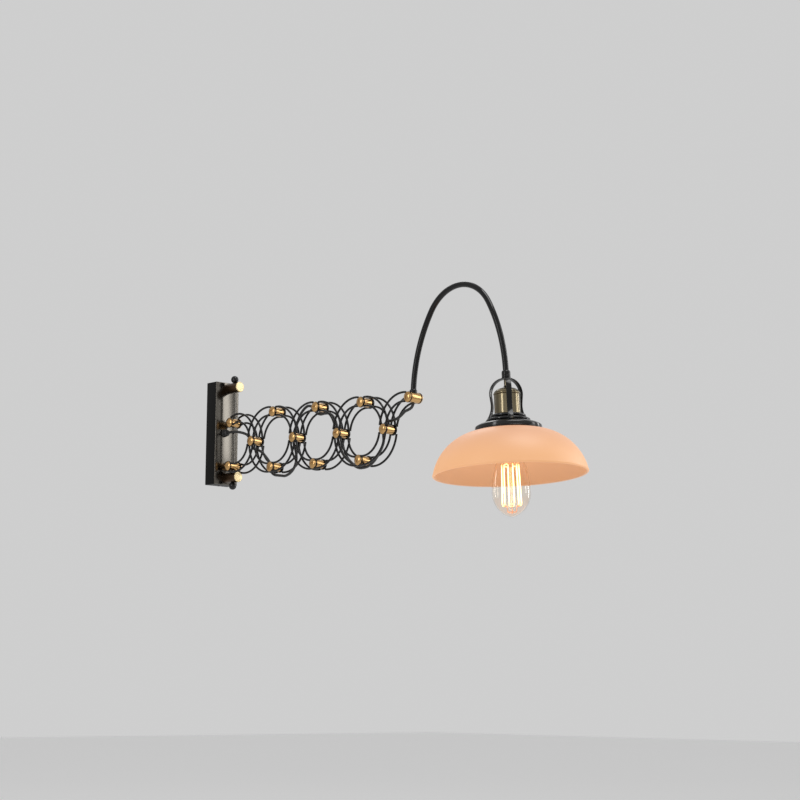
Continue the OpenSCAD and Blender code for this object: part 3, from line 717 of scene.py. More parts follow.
# Geometry trees: each makes what repeats or follows a path.
class Growth(Sheet):
    """A geometry tree with named inputs, which ends in Realize Instances and Set Material."""

    KINDS = {
        "Geometry": "NodeSocketGeometry",
        "Material": "NodeSocketMaterial",
        "Piece": "NodeSocketObject",
        "Count": "NodeSocketInt",
        "Sides": "NodeSocketInt",
        "Place": "NodeSocketVector",
        "Turn": "NodeSocketVector",
    }

    def __init__(self, name, inputs):
        super().__init__(bpy.data.node_groups.new(name, "GeometryNodeTree"))
        self.keys = {}
        for label in ("Geometry", *inputs, "Material"):
            kind = self.KINDS.get(label, "NodeSocketFloat")
            socket = self.tree.interface.new_socket(name=label, in_out="INPUT", socket_type=kind)
            self.keys[label] = socket.identifier
        self.tree.interface.new_socket(name="Geometry", in_out="OUTPUT", socket_type="NodeSocketGeometry")
        self.source = self.node("NodeGroupInput").outputs

    def given(self, label):
        return Value(self, self.source[label])

    def wire(self, curve, radius, sides):
        """A smooth round wire along a curve."""
        inputs = {"Resolution": sides, "Radius": radius}
        section = self.node("GeometryNodeCurvePrimitiveCircle", None, inputs)
        inputs = {"Curve": curve, "Profile Curve": section.outputs[0], "Fill Caps": True}
        wire = self.node("GeometryNodeCurveToMesh", None, inputs)
        return self.node("GeometryNodeSetShadeSmooth", None, {0: wire.outputs[0]}).outputs[0]

    def copies(self, points, shape, angles):
        """The shape on every point, turned by angles about X, Y and Z."""
        turn = self.node("FunctionNodeEulerToRotation", None, {0: angles})
        inputs = {"Points": points, "Instance": shape, "Rotation": turn.outputs[0]}
        return self.node("GeometryNodeInstanceOnPoints", None, inputs).outputs[0]

    def put(self, geometry):
        """The geometry turned and moved to the place that the tree is given."""
        inputs = {0: geometry, "Translation": self.source["Place"], "Rotation": self.source["Turn"]}
        return self.node("GeometryNodeTransform", None, inputs).outputs[0]

    def done(self, geometry):
        whole = self.node("GeometryNodeRealizeInstances", None, {0: geometry}).outputs[0]
        coated = self.node("GeometryNodeSetMaterial", None, {0: whole, "Material": self.source["Material"]})
        self.node("NodeGroupOutput", None, {0: coated.outputs[0]})
        return self


def bent_wires(name):
    """Round wires along the edges of a mesh of lines."""
    g = Growth(name, ("Radius", "Sides"))
    line = g.node("GeometryNodeMeshToCurve", None, {0: g.source["Geometry"]})
    return g.done(g.wire(line.outputs[0], g.source["Radius"], g.source["Sides"]))


def set_on_points(name):
    """One piece on every point, turned by the point's own angles."""
    g = Growth(name, ("Piece",))
    turn = g.node("GeometryNodeInputNamedAttribute", {"data_type": "FLOAT_VECTOR"}, {"Name": "turn"})
    piece = g.node("GeometryNodeObjectInfo", None, {0: g.source["Piece"]})
    return g.done(g.copies(g.source["Geometry"], piece.outputs["Geometry"], turn.outputs[0]))


def round_an_axis(name):
    """Copies of the given shape, evenly round an axis, then put in place."""
    g = Growth(name, ("Count", "Phase", "Place", "Turn"))
    points = g.node("GeometryNodePoints", None, {"Count": g.source["Count"]})
    index = Value(g, g.node("GeometryNodeInputIndex").outputs[0])
    angle = index * TAU / g.given("Count") + g.given("Phase")
    angles = g.node("ShaderNodeCombineXYZ", None, {2: angle})
    return g.done(g.put(g.copies(points.outputs[0], g.source["Geometry"], angles.outputs[0])))


def zigzag_cage(name):
    """A lit wire: upright strands between a top ring and a low ring, joined in turn at their ends."""
    g = Growth(name, ("Count", "Top", "Low", "Top_ring", "Low_ring", "Radius", "Place", "Turn"))
    line = g.node("GeometryNodeMeshLine", None, {"Count": g.given("Count") * 4, "Offset": (0, 0, MM)})
    index = Value(g, g.node("GeometryNodeInputIndex").outputs[0])
    strand = (index * 0.5).math("FLOOR")
    down = (strand + index).math("MODULO", 2)
    angle = strand * (TAU / 2) / g.given("Count")
    ring = g.given("Top_ring") + down * (g.given("Low_ring") - g.given("Top_ring"))
    height = g.given("Top") + down * (g.given("Low") - g.given("Top"))
    place = {0: angle.math("COSINE") * ring, 1: angle.math("SINE") * ring, 2: height}
    spot = g.node("ShaderNodeCombineXYZ", None, place)
    bent = g.node("GeometryNodeSetPosition", None, {0: line.outputs[0], "Position": spot.outputs[0]})
    curve = g.node("GeometryNodeMeshToCurve", None, {0: bent.outputs[0]})
    inputs = {"Curve": curve.outputs[0], "Radius": WICK_BEND * MM, "Limit Radius": True}
    rounded = g.node("GeometryNodeFilletCurve", None, inputs)
    return g.done(g.put(g.wire(rounded.outputs[0], g.source["Radius"], 8)))


GROWERS = (bent_wires, set_on_points, round_an_axis, zigzag_cage)
TREES = {}


def growth(name):
    """The geometry tree of that name, made at its first use."""
    if name not in TREES:
        grower = next(grower for grower in GROWERS if grower.__name__ == name)
        TREES[name] = grower(name)
    return TREES[name]


def grown(name, tree, mesh, coat, **values):
    """What the tree makes of the mesh, as a plain mesh."""
    g = growth(tree)
    holder = bpy.data.objects.new(name + "_source", mesh)
    bpy.context.scene.collection.objects.link(holder)
    maker = holder.modifiers.new("Maker", "NODES")
    maker.node_group = g.tree
    for label, value in {**values, "Material": finish(coat)}.items():
        maker[g.keys[label]] = value
    graph = bpy.context.evaluated_depsgraph_get()
    result = bpy.data.meshes.new_from_object(holder.evaluated_get(graph))
    result.name = name
    holder.modifiers.remove(maker)
    bpy.data.objects.remove(holder)
    return result


def line_mesh(name, paths):
    """Paths, as lists of points in millimetres, as one mesh of edges in metres."""
    points, edges = [], []
    for path in paths:
        edges += [(len(points) + k, len(points) + k + 1) for k in range(len(path) - 1)]
        points += [tuple(Vector(p) * MM) for p in path]
    mesh = bpy.data.meshes.new(name)
    mesh.from_pydata(points, edges, [])
    return mesh


def spread(name, shape, spots, coat, sharp=35):
    """The shape set on spots, each a place and a turn as a matrix."""
    piece = bpy.data.objects.new(name + "_one", as_mesh(name + "_one", shape, sharp))
    bpy.context.scene.collection.objects.link(piece)
    points = bpy.data.meshes.new(name + "_spots")
    points.from_pydata([tuple(place * MM) for place, turn in spots], [], [])
    turns = points.attributes.new("turn", "FLOAT_VECTOR", "POINT")
    turns.data.foreach_set("vector", [c for place, turn in spots for c in turn.to_euler()])
    mesh = grown(name, "set_on_points", points, coat, Piece=piece)
    bpy.data.objects.remove(piece)
    smooth(mesh, sharp)
    return mesh


# The arm
def half_links(kind, i):
    """Each half of a link: its two hubs, the bend of its wires and the side to which they bulge."""
    start, end = (LOW[i], TOP[i + 1]) if kind == "rise" else (TOP[i], LOW[i + 1] if i < CELLS - 1 else None)
    side = -1 if kind == "rise" else 1

    def slope(a, b):
        return math.degrees(math.atan2(b.z - a.z, b.x - a.x))

    first = slope(start, MID[i])
    extra = 2 * abs(slope(MID[i], end) - first) if end is not None else 0
    halves = [(start, MID[i], LINK_TURN + extra, side)]
    if end is not None:
        halves.append((MID[i], end, LINK_TURN, -side))
    return halves


def wire_path(a, b, turn, side, off, y, clear, steps=30):
    """One wire of a half link, bent round, kept clear of the two hubs."""
    along = b - a
    slope = math.degrees(math.atan2(along.z, along.x))
    r = along.length / (2 * math.sin(math.radians(turn / 2)))
    centre = a + along / 2 - side * r * math.cos(math.radians(turn / 2)) * ray(slope + 90)
    start = slope + 90 * side - turn / 2
    points = [centre + (r + off) * ray(start + turn * k / steps) for k in range(steps + 1)]
    points = [p for p in points if min((p - a).length, (p - b).length) > clear]
    return [p + Vector((0, y, 0)) for p in points]


def link_hubs(kind, i):
    """The hubs that a link reaches, from its start on."""
    if kind == "rise":
        return [LOW[i], MID[i], TOP[i + 1]]
    return [TOP[i], MID[i]] + ([LOW[i + 1]] if i < CELLS - 1 else [])


def disc(r, y0, y1, hole=PLATE_HOLE):
    """A flat ring between two heights."""
    outline = softened([(hole, y0), (r, y0), (r, y1), (hole, y1)], 0.35)
    return revolved(outline, 48, closed=True)


def screw_head(r, h, slot_w=1.7, slot_d=1.8):
    """A domed head with a slot, its base at z = 0."""
    rise = h - 1
    ball = (r * r + rise * rise) / (2 * rise)
    arc = [(r * (1 - k / 10), h - ball + math.sqrt(ball**2 - (r * (1 - k / 10)) ** 2)) for k in range(11)]
    outline = [(0, 0), (r - 0.4, 0), (r, 0.4), (r, 0.8)] + arc
    head = bpy.data.objects.new("head", as_mesh("head", revolved(outline, 48)))
    low, high = (-r - 1, -slot_w / 2, h - slot_d), (r + 1, slot_w / 2, h + 2)
    blade = bpy.data.objects.new("blade", as_mesh("blade", rounded_box(low, high, 0.15, 1)))
    for made in (head, blade):
        bpy.context.scene.collection.objects.link(made)
    cut = head.modifiers.new("Slot", "BOOLEAN")
    cut.object, cut.operation, cut.solver = blade, "DIFFERENCE", "EXACT"
    graph = bpy.context.evaluated_depsgraph_get()
    result = bpy.data.meshes.new_from_object(head.evaluated_get(graph))
    shape = [tuple(v.co / MM) for v in result.vertices], [list(p.vertices) for p in result.polygons]
    for made in (head, blade):
        bpy.data.objects.remove(made)
    return shape


def cap_nut(r, h):
    """A six-sided nut with a domed cap, its base at z = 0."""
    flats = [(0, 0), (r - 0.5, 0), (r, 0.5), (r, h * 0.42), (r - 0.7, h * 0.5), (0, h * 0.5)]
    hexagon = softened(flats, 0.15, False)
    dome = [(0, 0.2), (r * 0.8, 0.2)]
    for k in range(8):
        a = TAU / 32 * k
        dome.append((r * 0.8 * math.cos(a), h * 0.45 + h * 0.55 * math.sin(a)))
    dome.append((0, h))
    return joined(revolved(hexagon, 6), revolved(dome, 24))


def sleeve_shape(r, half):
    """A round sleeve with small bevels, its middle at z = 0."""
    outline = [(0, -half), (r - 0.5, -half), (r, -half + 0.5), (r, half - 0.5), (r - 0.5, half), (0, half)]
    return revolved(softened(outline, 0.3, False), 48)


def both_sides(y, dice):
    """The two ends of a hub, each with its own chance turn of the slot."""
    for turn, side in ((TO_MINUS_Y, -1), (TO_Y, 1)):
        yield Vector((0, side * y, 0)), turn @ Matrix.Rotation(dice.uniform(0, TAU / 2), 4, "Z")


class LampSizes(bpy.types.PropertyGroup):
    """Sizes that a user would change."""

    wire_r: FloatProperty(
        name="Wire radius", description="Radius of the arm's wires",
        default=2 * MM, min=0.5 * MM, max=2.05 * MM, unit="LENGTH",
    )
    wire_gap: FloatProperty(
        name="Wire gap", description="Half the distance between a link's two wires",
        default=8 * MM, min=5 * MM, max=12 * MM, unit="LENGTH",
    )
    sleeve_r: FloatProperty(
        name="Sleeve radius", description="Radius of the hub sleeves",
        default=8 * MM, min=5 * MM, max=12 * MM, unit="LENGTH",
    )
    head_r: FloatProperty(
        name="Screw head radius", description="Radius of the domed screw heads",
        default=9.3 * MM, min=5 * MM, max=12 * MM, unit="LENGTH",
    )
    head_h: FloatProperty(
        name="Screw head height", description="Height of the domed screw heads",
        default=4.8 * MM, min=2 * MM, max=6 * MM, unit="LENGTH",
    )
    pipe_r: FloatProperty(
        name="Pipe radius", description="Radius of the bent neck",
        default=5 * MM, min=3 * MM, max=7 * MM, unit="LENGTH",
    )
    bulb_r: FloatProperty(
        name="Bulb radius", description="Largest radius of the bulb",
        default=32 * MM, min=20 * MM, max=32 * MM, unit="LENGTH",
    )
    cord_r: FloatProperty(
        name="Cord radius", description="Radius of the cord",
        default=2.6 * MM, min=1.5 * MM, max=2.8 * MM, unit="LENGTH",
    )
    strands: IntProperty(
        name="Strands", description="Pairs of strands in the lit wire",
        default=6, min=3, max=12,
    )


class LampFinishes(bpy.types.PropertyGroup):
    """Colours and light that a user would change."""

    black: FloatVectorProperty(
        name="Black", description="Colour of the painted wires and neck",
        default=(0.004, 0.0038, 0.0037), min=0, max=1, subtype="COLOR",
    )
    brass: FloatVectorProperty(
        name="Brass", description="Colour of the sleeves and screws",
        default=(0.56, 0.34, 0.14), min=0, max=1, subtype="COLOR",
    )
    brass_dull: FloatVectorProperty(
        name="Dull brass", description="Colour of the dull spots on the brass pieces",
        default=(0.12, 0.055, 0.018), min=0, max=1, subtype="COLOR",
    )
    aged: FloatVectorProperty(
        name="Aged brass", description="Colour of the socket",
        default=(0.26, 0.215, 0.135), min=0, max=1, subtype="COLOR",
    )
    steel: FloatVectorProperty(
        name="Box face", description="Colour of the box's brushed face",
        default=(0.165, 0.152, 0.132), min=0, max=1, subtype="COLOR",
    )
    opal: FloatVectorProperty(
        name="Opal glass", description="Colour of the unlit shade",
        default=(0.42, 0.3, 0.215), min=0, max=1, subtype="COLOR",
    )
    glow_low: FloatVectorProperty(
        name="Glow, low", description="Light of the shade near its rim",
        default=(0.6, 0.27, 0.09), min=0, max=1, subtype="COLOR",
    )
    glow_high: FloatVectorProperty(
        name="Glow, high", description="Light of the shade near its top",
        default=(0.4, 0.15, 0.065), min=0, max=1, subtype="COLOR",
    )
    glow_inside: FloatVectorProperty(
        name="Glow, inside", description="Light of the shade's inner wall",
        default=(0.39, 0.175, 0.075), min=0, max=1, subtype="COLOR",
    )
    glow: FloatProperty(name="Glow", description="Strength of the shade's light", default=1, min=0, max=5)
    wick: FloatProperty(name="Wick", description="Strength of the lit wire", default=4.5, min=0, max=50)


def box_shell():
    """The wall box: a bevelled block, cut open at the wall and hollowed to a sheet's thickness."""
    low, high = (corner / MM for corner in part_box("wall_box"))
    mesh = as_mesh("box_shell", rounded_box((low.x - 4, low.y, low.z), high, BOX_EDGE))
    shell = bmesh.new()
    shell.from_mesh(mesh)
    cut = (low.x * MM, 0, 0)
    everything = shell.verts[:] + shell.edges[:] + shell.faces[:]
    bmesh.ops.bisect_plane(shell, geom=everything, plane_co=cut, plane_no=(1, 0, 0), clear_inner=True)
    bmesh.ops.recalc_face_normals(shell, faces=shell.faces[:])
    shell.to_mesh(mesh)
    shell.free()
    smooth(mesh)
    box = bpy.data.objects.new("maker", mesh)
    bpy.context.scene.collection.objects.link(box)
    sheet = box.modifiers.new("Wall", "SOLIDIFY")
    sheet.thickness, sheet.offset, sheet.use_even_offset = BOX_WALL * MM, -1, True
    graph = bpy.context.evaluated_depsgraph_get()
    hollow = bpy.data.meshes.new_from_object(box.evaluated_get(graph))
    bpy.data.objects.remove(box)
    smooth(hollow)
    return hollow


def posts_shape():
    r, end = POST_R, POST_END
    outline = [(0, FACE_X), (r, FACE_X), (r, end - 0.9), (r - 0.9, end), (0, end)]
    post = moved(revolved(softened(outline, 0.25, False), 64), TO_X)
    return joined(*(moved(post, Matrix.Translation((0, 0, side * POST_Z))) for side in (-1, 1)))


def bar_shape():
    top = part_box("slide_bar")[1].z / MM
    return moved(revolved([(0, -top), (BAR_R, -top), (BAR_R, top), (0, top)], 40), ON_BAR)


def balls_shape():
    """Two balls, one at each end of the bar."""
    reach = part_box("end_balls")[1].z / MM - BALL_R
    arc = [(BALL_R * math.sin(a), -BALL_R * math.cos(a)) for a in (TAU / 2 * k / 24 for k in range(25))]
    arc[0], arc[-1] = (0, -BALL_R), (0, BALL_R)
    ball = revolved(arc, 48)
    return joined(*(moved(ball, Matrix.Translation((BAR_X, 0, side * reach))) for side in (-1, 1)))


def washer_shape():
    low, high = (corner.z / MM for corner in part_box("bar_washer"))
    return moved(disc(WASHER_R, low, high, BAR_R + 0.05), ON_BAR)


def gland_shape():
    """The cord's gland: a six-sided foot and a ribbed cap with a bore."""
    rib = rounded_box((4.5, 5.9, -0.45), (8.6, 6.6, 0.45), 0.12, 1)
    ribs = [moved(rib, Matrix.Rotation(a, 4, "X")) for a in around(GLAND_RIBS)]
    hexagon = softened([(0, 0), (7.3, 0), (8, 0.6), (8, 3.9), (7.3, 4.5), (0, 4.5)], 0.15, False)
    cap = [(2.75, 4.3), (6.3, 4.3), (6.3, 8.6), (5.3, 10.2), (4.2, 11.1), (3.2, 11.4), (2.75, 11.2)]
    round_part = revolved(softened(cap, 0.4), 40, closed=True)
    body = joined(moved(joined(revolved(hexagon, 6), round_part), TO_X), *ribs)
    return moved(body, Matrix.Translation((FACE_X, GLAND_Y, 0)))


class LAMP_OT_wall_box(bpy.types.Operator):
    """Build the wall box, its posts, the upright bar and the cord's gland"""

    bl_idname = "lamp.wall_box"
    bl_label = "Wall box"

    def execute(self, context):
        show("box_shell", box_shell(), "box_metal", "wall_base", ["wall_box"], "gunmetal")
        shape_piece("posts_turned", posts_shape(), "post_brass", "wall_base", ["posts"], "brass")
        shape_piece("upright_bar", bar_shape(), "dark_steel", "wall_base", ["slide_bar"], "dark_steel")
        shape_piece("bar_balls", balls_shape(), "gloss_black", "wall_base", ["end_balls"], "gloss_black")
        shape_piece("bar_ring", washer_shape(), "dark_steel", "wall_base", ["bar_washer"], "dark_steel")
        shape_piece("gland", gland_shape(), "black_plastic", "wall_base", ["cord_gland"], "black_plastic")
        for node in ("wall_bracket", "post_screws", "cover_screws"):
            from_node(node, "zinc", "wall_base", "zinc")
        return {"FINISHED"}


class LAMP_OT_links(bpy.types.Operator):
    """Build the bent wires of the folding arm and the plates that join them at the hubs"""

    bl_idname = "lamp.links"
    bl_label = "Arm links"

    def execute(self, context):
        sizes = context.scene.lamp_sizes
        gap = sizes.wire_gap / MM
        for kind, y, plate in (("rise", RISE_Y, RISE_PLATE), ("fall", FALL_Y, FALL_PLATE)):
            for i in range(CELLS):
                body, slot = f"{kind}_{i + 1}", "black_metal"
                for side, word in ((-1, "left"), (1, "right")):
                    halves = half_links(kind, i)
                    pairs = [(half, off) for half in halves for off in (-gap, gap)]
                    paths = [wire_path(*half, off, side * y, WIRE_CLEAR) for half, off in pairs]
                    name = f"{kind}_wires_{i + 1}_{word}"
                    lines = line_mesh(name + "_lines", paths)
                    wires = grown(name, "bent_wires", lines, "satin_black", Radius=sizes.wire_r, Sides=14)
                    node = f"{kind}_link_{i + 1}_{word}"
                    show(name, wires, "satin_black", body, [node], slot)
                    turn = TO_Y if side > 0 else TO_MINUS_Y
                    spots = [(p, turn) for p in link_hubs(kind, i)]
                    name = f"{kind}_plates_{i + 1}_{word}"
                    spread_piece(name, disc(PLATE_R, *plate), spots, "satin_black", body, (), slot)
        return {"FINISHED"}


class LAMP_OT_hubs(bpy.types.Operator):
    """Build the sleeves, slotted screws and cap nuts of the hubs"""

    bl_idname = "lamp.hubs"
    bl_label = "Hubs"

    def execute(self, context):
        sizes = context.scene.lamp_sizes
        dice = random.Random(7)
        head = screw_head(sizes.head_r / MM, sizes.head_h / MM)
        sleeve = sleeve_shape(sizes.sleeve_r / MM, SLEEVE_HALF)
        seat = Vector((0, RISE_PLATE[1], 0))
        for i in range(CELLS):
            hubs = link_hubs("rise", i)
            hubs = hubs[1:] if i == 0 else hubs
            hubs = hubs[:-1] if i == CELLS - 1 else hubs
            n, body = i + 1, f"rise_{i + 1}"
            turns = [TO_MINUS_Y @ Matrix.Rotation(dice.uniform(0, TAU / 2), 4, "Z") for _ in hubs]
            spots = [(p - seat, t) for p, t in zip(hubs, turns)]
            spread_piece(f"screw_heads_{n}", head, spots, "brass", body, [f"pivot_screws_{n}"], "brass", 30)
            spots = [(p, TO_Y) for p in hubs]
            spread_piece(f"sleeves_{n}", sleeve, spots, "brass", body, [f"hub_sleeves_{n}"], "brass")
            turns = [TO_Y @ Matrix.Rotation(dice.uniform(0, TAU / 2), 4, "Z") for _ in hubs]
            spots = [(p + seat, t) for p, t in zip(hubs, turns)]
            nut = cap_nut(NUT_R, NUT_H)
            spread_piece(f"cap_nuts_{n}", nut, spots, "brass", body, [f"pivot_nuts_{n}"], "brass", 25)

        wide = sleeve_shape(sizes.sleeve_r / MM, WIDE_SLEEVE_HALF)
        for name, hub, y, shape, body, nodes in (
            ("swing_hub", LOW[0], WIDE_HEAD_Y, wide, "swing_head", ("swing_sleeve", "swing_screws")),
            ("slide_hub", TOP[0], SLIDE_HEAD_Y, sleeve, "top_slider", ("slide_sleeve", "slide_screws")),
        ):
            spread_piece(name, shape, [(hub, TO_Y)], "brass", body, [nodes[0]], "brass")
            spots = [(hub + step, turn) for step, turn in both_sides(y, dice)]
            spread_piece(name + "_heads", head, spots, "brass", body, [nodes[1]], "brass", 30)
        return {"FINISHED"}


class LAMP_OT_neck(bpy.types.Operator):
    """Build the knuckle on the last hub and the high bent neck"""

    bl_idname = "lamp.neck"
    bl_label = "Neck"

    def execute(self, context):
        sizes = context.scene.lamp_sizes
        dice = random.Random(11)
        knuckle = sleeve_shape(KNUCKLE_R, WIDE_SLEEVE_HALF)
        spread_piece("knuckle_sleeve", knuckle, [(LAST, TO_Y)], "brass", "lamp_head", ["knuckle"], "brass")
        head = screw_head(sizes.head_r / MM, sizes.head_h / MM)
        spots = [(LAST + step, turn) for step, turn in both_sides(WIDE_HEAD_Y, dice)]
        nodes = ["knuckle_screws"]
        spread_piece("knuckle_heads", head, spots, "brass", "lamp_head", nodes, "brass", 30)

        outline = softened([(5, 6), (6.7, 6), (6.7, 12.6), (5.6, 14.2), (5, 14.4)], 0.5)
        ferrule = moved(revolved(outline, 48, closed=True), Matrix.Translation(LAST))
        shape_piece("neck_foot", ferrule, "satin_black", "lamp_head", ["neck_ferrule"], "black_metal")

        lines = line_mesh("neck_lines", [NECK])
        pipe = grown("neck_arch", "bent_wires", lines, "pipe_black", Radius=sizes.pipe_r, Sides=40)
        show("neck_arch", pipe, "pipe_black", "lamp_head", ["neck_pipe"], "black_metal")
        return {"FINISHED"}


def rounded_strap(e, w, edge=0.55, steps=3):
    """A flat bar's section with rounded corners."""
    out = []
    for sx, sy, start in ((1, 1, 0), (-1, 1, 1), (-1, -1, 2), (1, -1, 3)):
        for k in range(steps + 1):
            a = TAU / 4 * (start + k / steps)
            out.append((sx * (e - edge) + edge * math.cos(a), sy * (w - edge) + edge * math.sin(a)))
    return out


def strap_line():
    """The centre line of a cage strap, from the top plate to its foot, in the plane y = 0."""
    high = Vector((5.3, 0, CAGE_Z + STRAP_T / 2 - 0.3 - STRAP_BEND))
    low = high + Vector((STRAP_REACH, 0, -STRAP_DROP))
    run = low - high
    turn = math.acos((STRAP_BEND + STRAP_FLARE) / run.length)
    slope = math.degrees(math.atan2(run.z, run.x) + turn)
    upper = [high + STRAP_BEND * ray(90 + (slope - 90) * k / 16) for k in range(17)]
    lower = [low + STRAP_FLARE * ray(180 + slope + STRAP_FOOT * k / 16) for k in range(17)]
    return [Vector((0, 0, upper[0].z))] + upper + lower


class LAMP_OT_cage(bpy.types.Operator):
    """Build the three bent straps round the socket and the collar that holds them"""

    bl_idname = "lamp.cage"
    bl_label = "Cage"

    def execute(self, context):
        strap = swept(strap_line(), rounded_strap(STRAP_T / 2, STRAP_W / 2))
        mesh = as_mesh("strap_one", strap)
        place = ON_LAMP.translation * MM
        straps = grown(
            "cage_straps", "round_an_axis", mesh, "satin_black",
            Count=3, Phase=math.radians(STRAP_PHASE), Place=place, Turn=Vector(ON_LAMP.to_euler()),
        )
        smooth(straps)
        show("cage_straps", straps, "satin_black", "lamp_head", ["cage"], "black_metal")

        plate = softened([(0, CAGE_Z), (8, CAGE_Z), (8, CAGE_Z + 2), (0, CAGE_Z + 2)], 0.4, False)
        z = COLLAR_Z
        nut = [(0, z), (7, z), (7.4, z + 0.5), (7.4, z + 3), (6.9, z + 3.6), (7.4, z + 4.2), (7.4, z + 9.6)]
        nut += [(6.8, z + 11), (6.1, z + 12), (0, z + 12)]
        shape = moved(joined(revolved(plate, 48), revolved(softened(nut, 0.4, False), 48)), ON_LAMP)
        shape_piece("cage_hub", shape, "satin_black", "lamp_head", ["cage_collar"], "black_metal")
        return {"FINISHED"}


def socket_outline():
    """The socket's brass shell from its open end, over the bead and the shoulder, and back inside."""
    z, r, top = BEAD_Z, SOCKET_R, PIPE_Z - 0.5
    outline = [(18.8, CAP_Z), (r + 0.5, CAP_Z), (r + 0.5, CAP_Z + 1.4), (r, CAP_Z + 1.8)]
    outline += [(r, z - 0.6)] + half_round(r + 0.8, z, 3.2) + [(r - 0.6, z + 3.4)]
    outline += [(r - 0.2, z + 4), (r - 0.8, z + 5), (r - 3.2, z + 7.4)]
    outline += [(15.4, z + 9.4), (10.5, z + 11.2), (6.9, z + 12.6), (5.6, z + 14)]
    outline += [(4.15, z + 15.5), (4.15, top), (1.8, top), (1.8, z + 8), (16, z - 4), (18.8, z - 6)]
    return softened(outline, 0.35, steps=2)


def cup_outline():
    """The cup on the shade, with its two beaded steps, its rolled rim and its inside."""
    low, edge, inner_r = RING_LOW_Z, CUP_Z + CUP_H, CUP_R - CUP_WALL
    outline = [(18.8, CAP_Z), (27.6, CAP_Z)] + half_round(RING_TOP_R, RING_TOP_Z, 5)[::-1]
    outline += [(26.9, RING_TOP_Z - 0.4), (26.9, low + 5.4)] + half_round(RING_LOW_R, low, 5)[::-1]
    outline += [(36.6, low - 0.4), (45, CROWN_Z + 0.6), (51, CROWN_Z - 1.6), (54.4, edge - 0.6)]
    outline += [(CUP_R, edge - 2), (CUP_R, CUP_Z + 2.6)] + half_round(CUP_R + 0.8, CUP_Z, 2.4)[::-1]
    outline += [(inner_r, CUP_Z), (inner_r, edge - 0.6), (50, CROWN_Z - 1.9)]
    outline += [(34, low - 1.6), (18.8, low - 1.6)]
    return softened(outline, 0.5, steps=2)


class LAMP_OT_socket(bpy.types.Operator):
    """Build the brass socket, its inner holder, the cup and the ring that hold the shade"""

    bl_idname = "lamp.socket"
    bl_label = "Socket and cup"

    def execute(self, context):
        shell = moved(revolved(socket_outline(), 72, closed=True), ON_LAMP)
        shape_piece("socket_brass", shell, "aged_brass", "lamp_head", ["socket_shell"], "aged_brass")
        cup = moved(revolved(cup_outline(), 96, closed=True), ON_LAMP)
        shape_piece("shade_cap", cup, "black_nickel", "lamp_head", ["shade_cup"], "black_metal")
        for node in ("lamp_holder", "shade_ring"):
            from_node(node, "black_plastic", "lamp_head", "black_plastic")
        return {"FINISHED"}


def shade_outline():
    """The shade's wall: down the outside, round the thick lip and up the inside."""
    hole, lip = HOLDER_R + 2.4, 2.3

    def arc(radius, low, steps=56):
        start = math.asin((low - DOME_Z) / radius)
        stop = math.pi / 2 + math.asin((DOME_X - hole) / radius)
        turns = (start + (stop - start) * k / steps for k in range(steps + 1))
        return [(DOME_X + radius * math.cos(a), DOME_Z + radius * math.sin(a)) for a in turns]

    bead = [
        (SHADE_R - lip + lip * math.cos(a), lip + lip * math.sin(a))
        for a in (-math.pi * k / 12 for k in range(13))
    ]
    return arc(DOME_R, 5.6)[::-1] + [(SHADE_R - 0.35, 3.6)] + bead + arc(DOME_R - SHADE_WALL, 4.6)


class LAMP_OT_shade(bpy.types.Operator):
    """Build the opal glass shade"""

    bl_idname = "lamp.shade"
    bl_label = "Shade"

    def execute(self, context):
        shade = moved(revolved(shade_outline(), 160, closed=True), ON_LAMP)
        shape_piece("opal_shade", shade, "opal_glass", "lamp_head", ["glass_shade"], "opal_glass", 60)
        return {"FINISHED"}


def bulb_line(radius, off, steps=26):
    """The bulb's outline, from its neck to its tip, drawn in by off."""

    def curve(a, b, c, d, t):
        s = 1 - t
        return tuple(
            s**3 * p + 3 * t * s * s * q + 3 * t * t * s * u + t**3 * v for p, q, u, v in zip(a, b, c, d)
        )

    neck, wide, tip = BULB_NECK_R - off, radius - off, off - BULB_TIP
    upper = [(neck, BULB_TOP), (neck, BULB_TOP - 22), (wide, 20), (wide, -BULB_LOW)]
    lower = [upper[-1], (wide, -BULB_LOW - 19 + off / 2), (17 - off, tip + 2), (0, tip)]
    points = [curve(*upper, k / steps) for k in range(steps + 1)]
    return points + [curve(*lower, k / steps) for k in range(1, steps + 1)]


def stem_outline(low, top):
    """The glass rod between two heights, with its flare, its waists and its button."""
    stem = [(0, BULB_TOP + 5.5), (11.4, BULB_TOP + 5.5), (11.4, BULB_TOP + 4), (6.5, BULB_TOP + 1)]
    stem += [(4.4, BULB_TOP - 12), (3, top + 6), (3.4, top + 2), (1.2, top - 2), (1.0, low - 7)]
    stem += [(2.8, low - 9), (2.8, low - 12), (1, low - 13.4), (0, low - 13.6)]
    return softened(stem, 1.5, False)


def hooks(path, radius, strands, phase, place, turn):
    """Thin hooks along a path of (radius, height), evenly round the lamp's axis."""
    lines = line_mesh("hook_line", [[Vector((r, 0, z)) for r, z in path]])
    one = grown("hook_one", "bent_wires", lines, "copper_wire", Radius=radius * MM, Sides=8)
    phase *= TAU / 2 / strands
    return grown(
        "hooks", "round_an_axis", one, "copper_wire", Count=strands, Phase=phase, Place=place, Turn=turn
    )


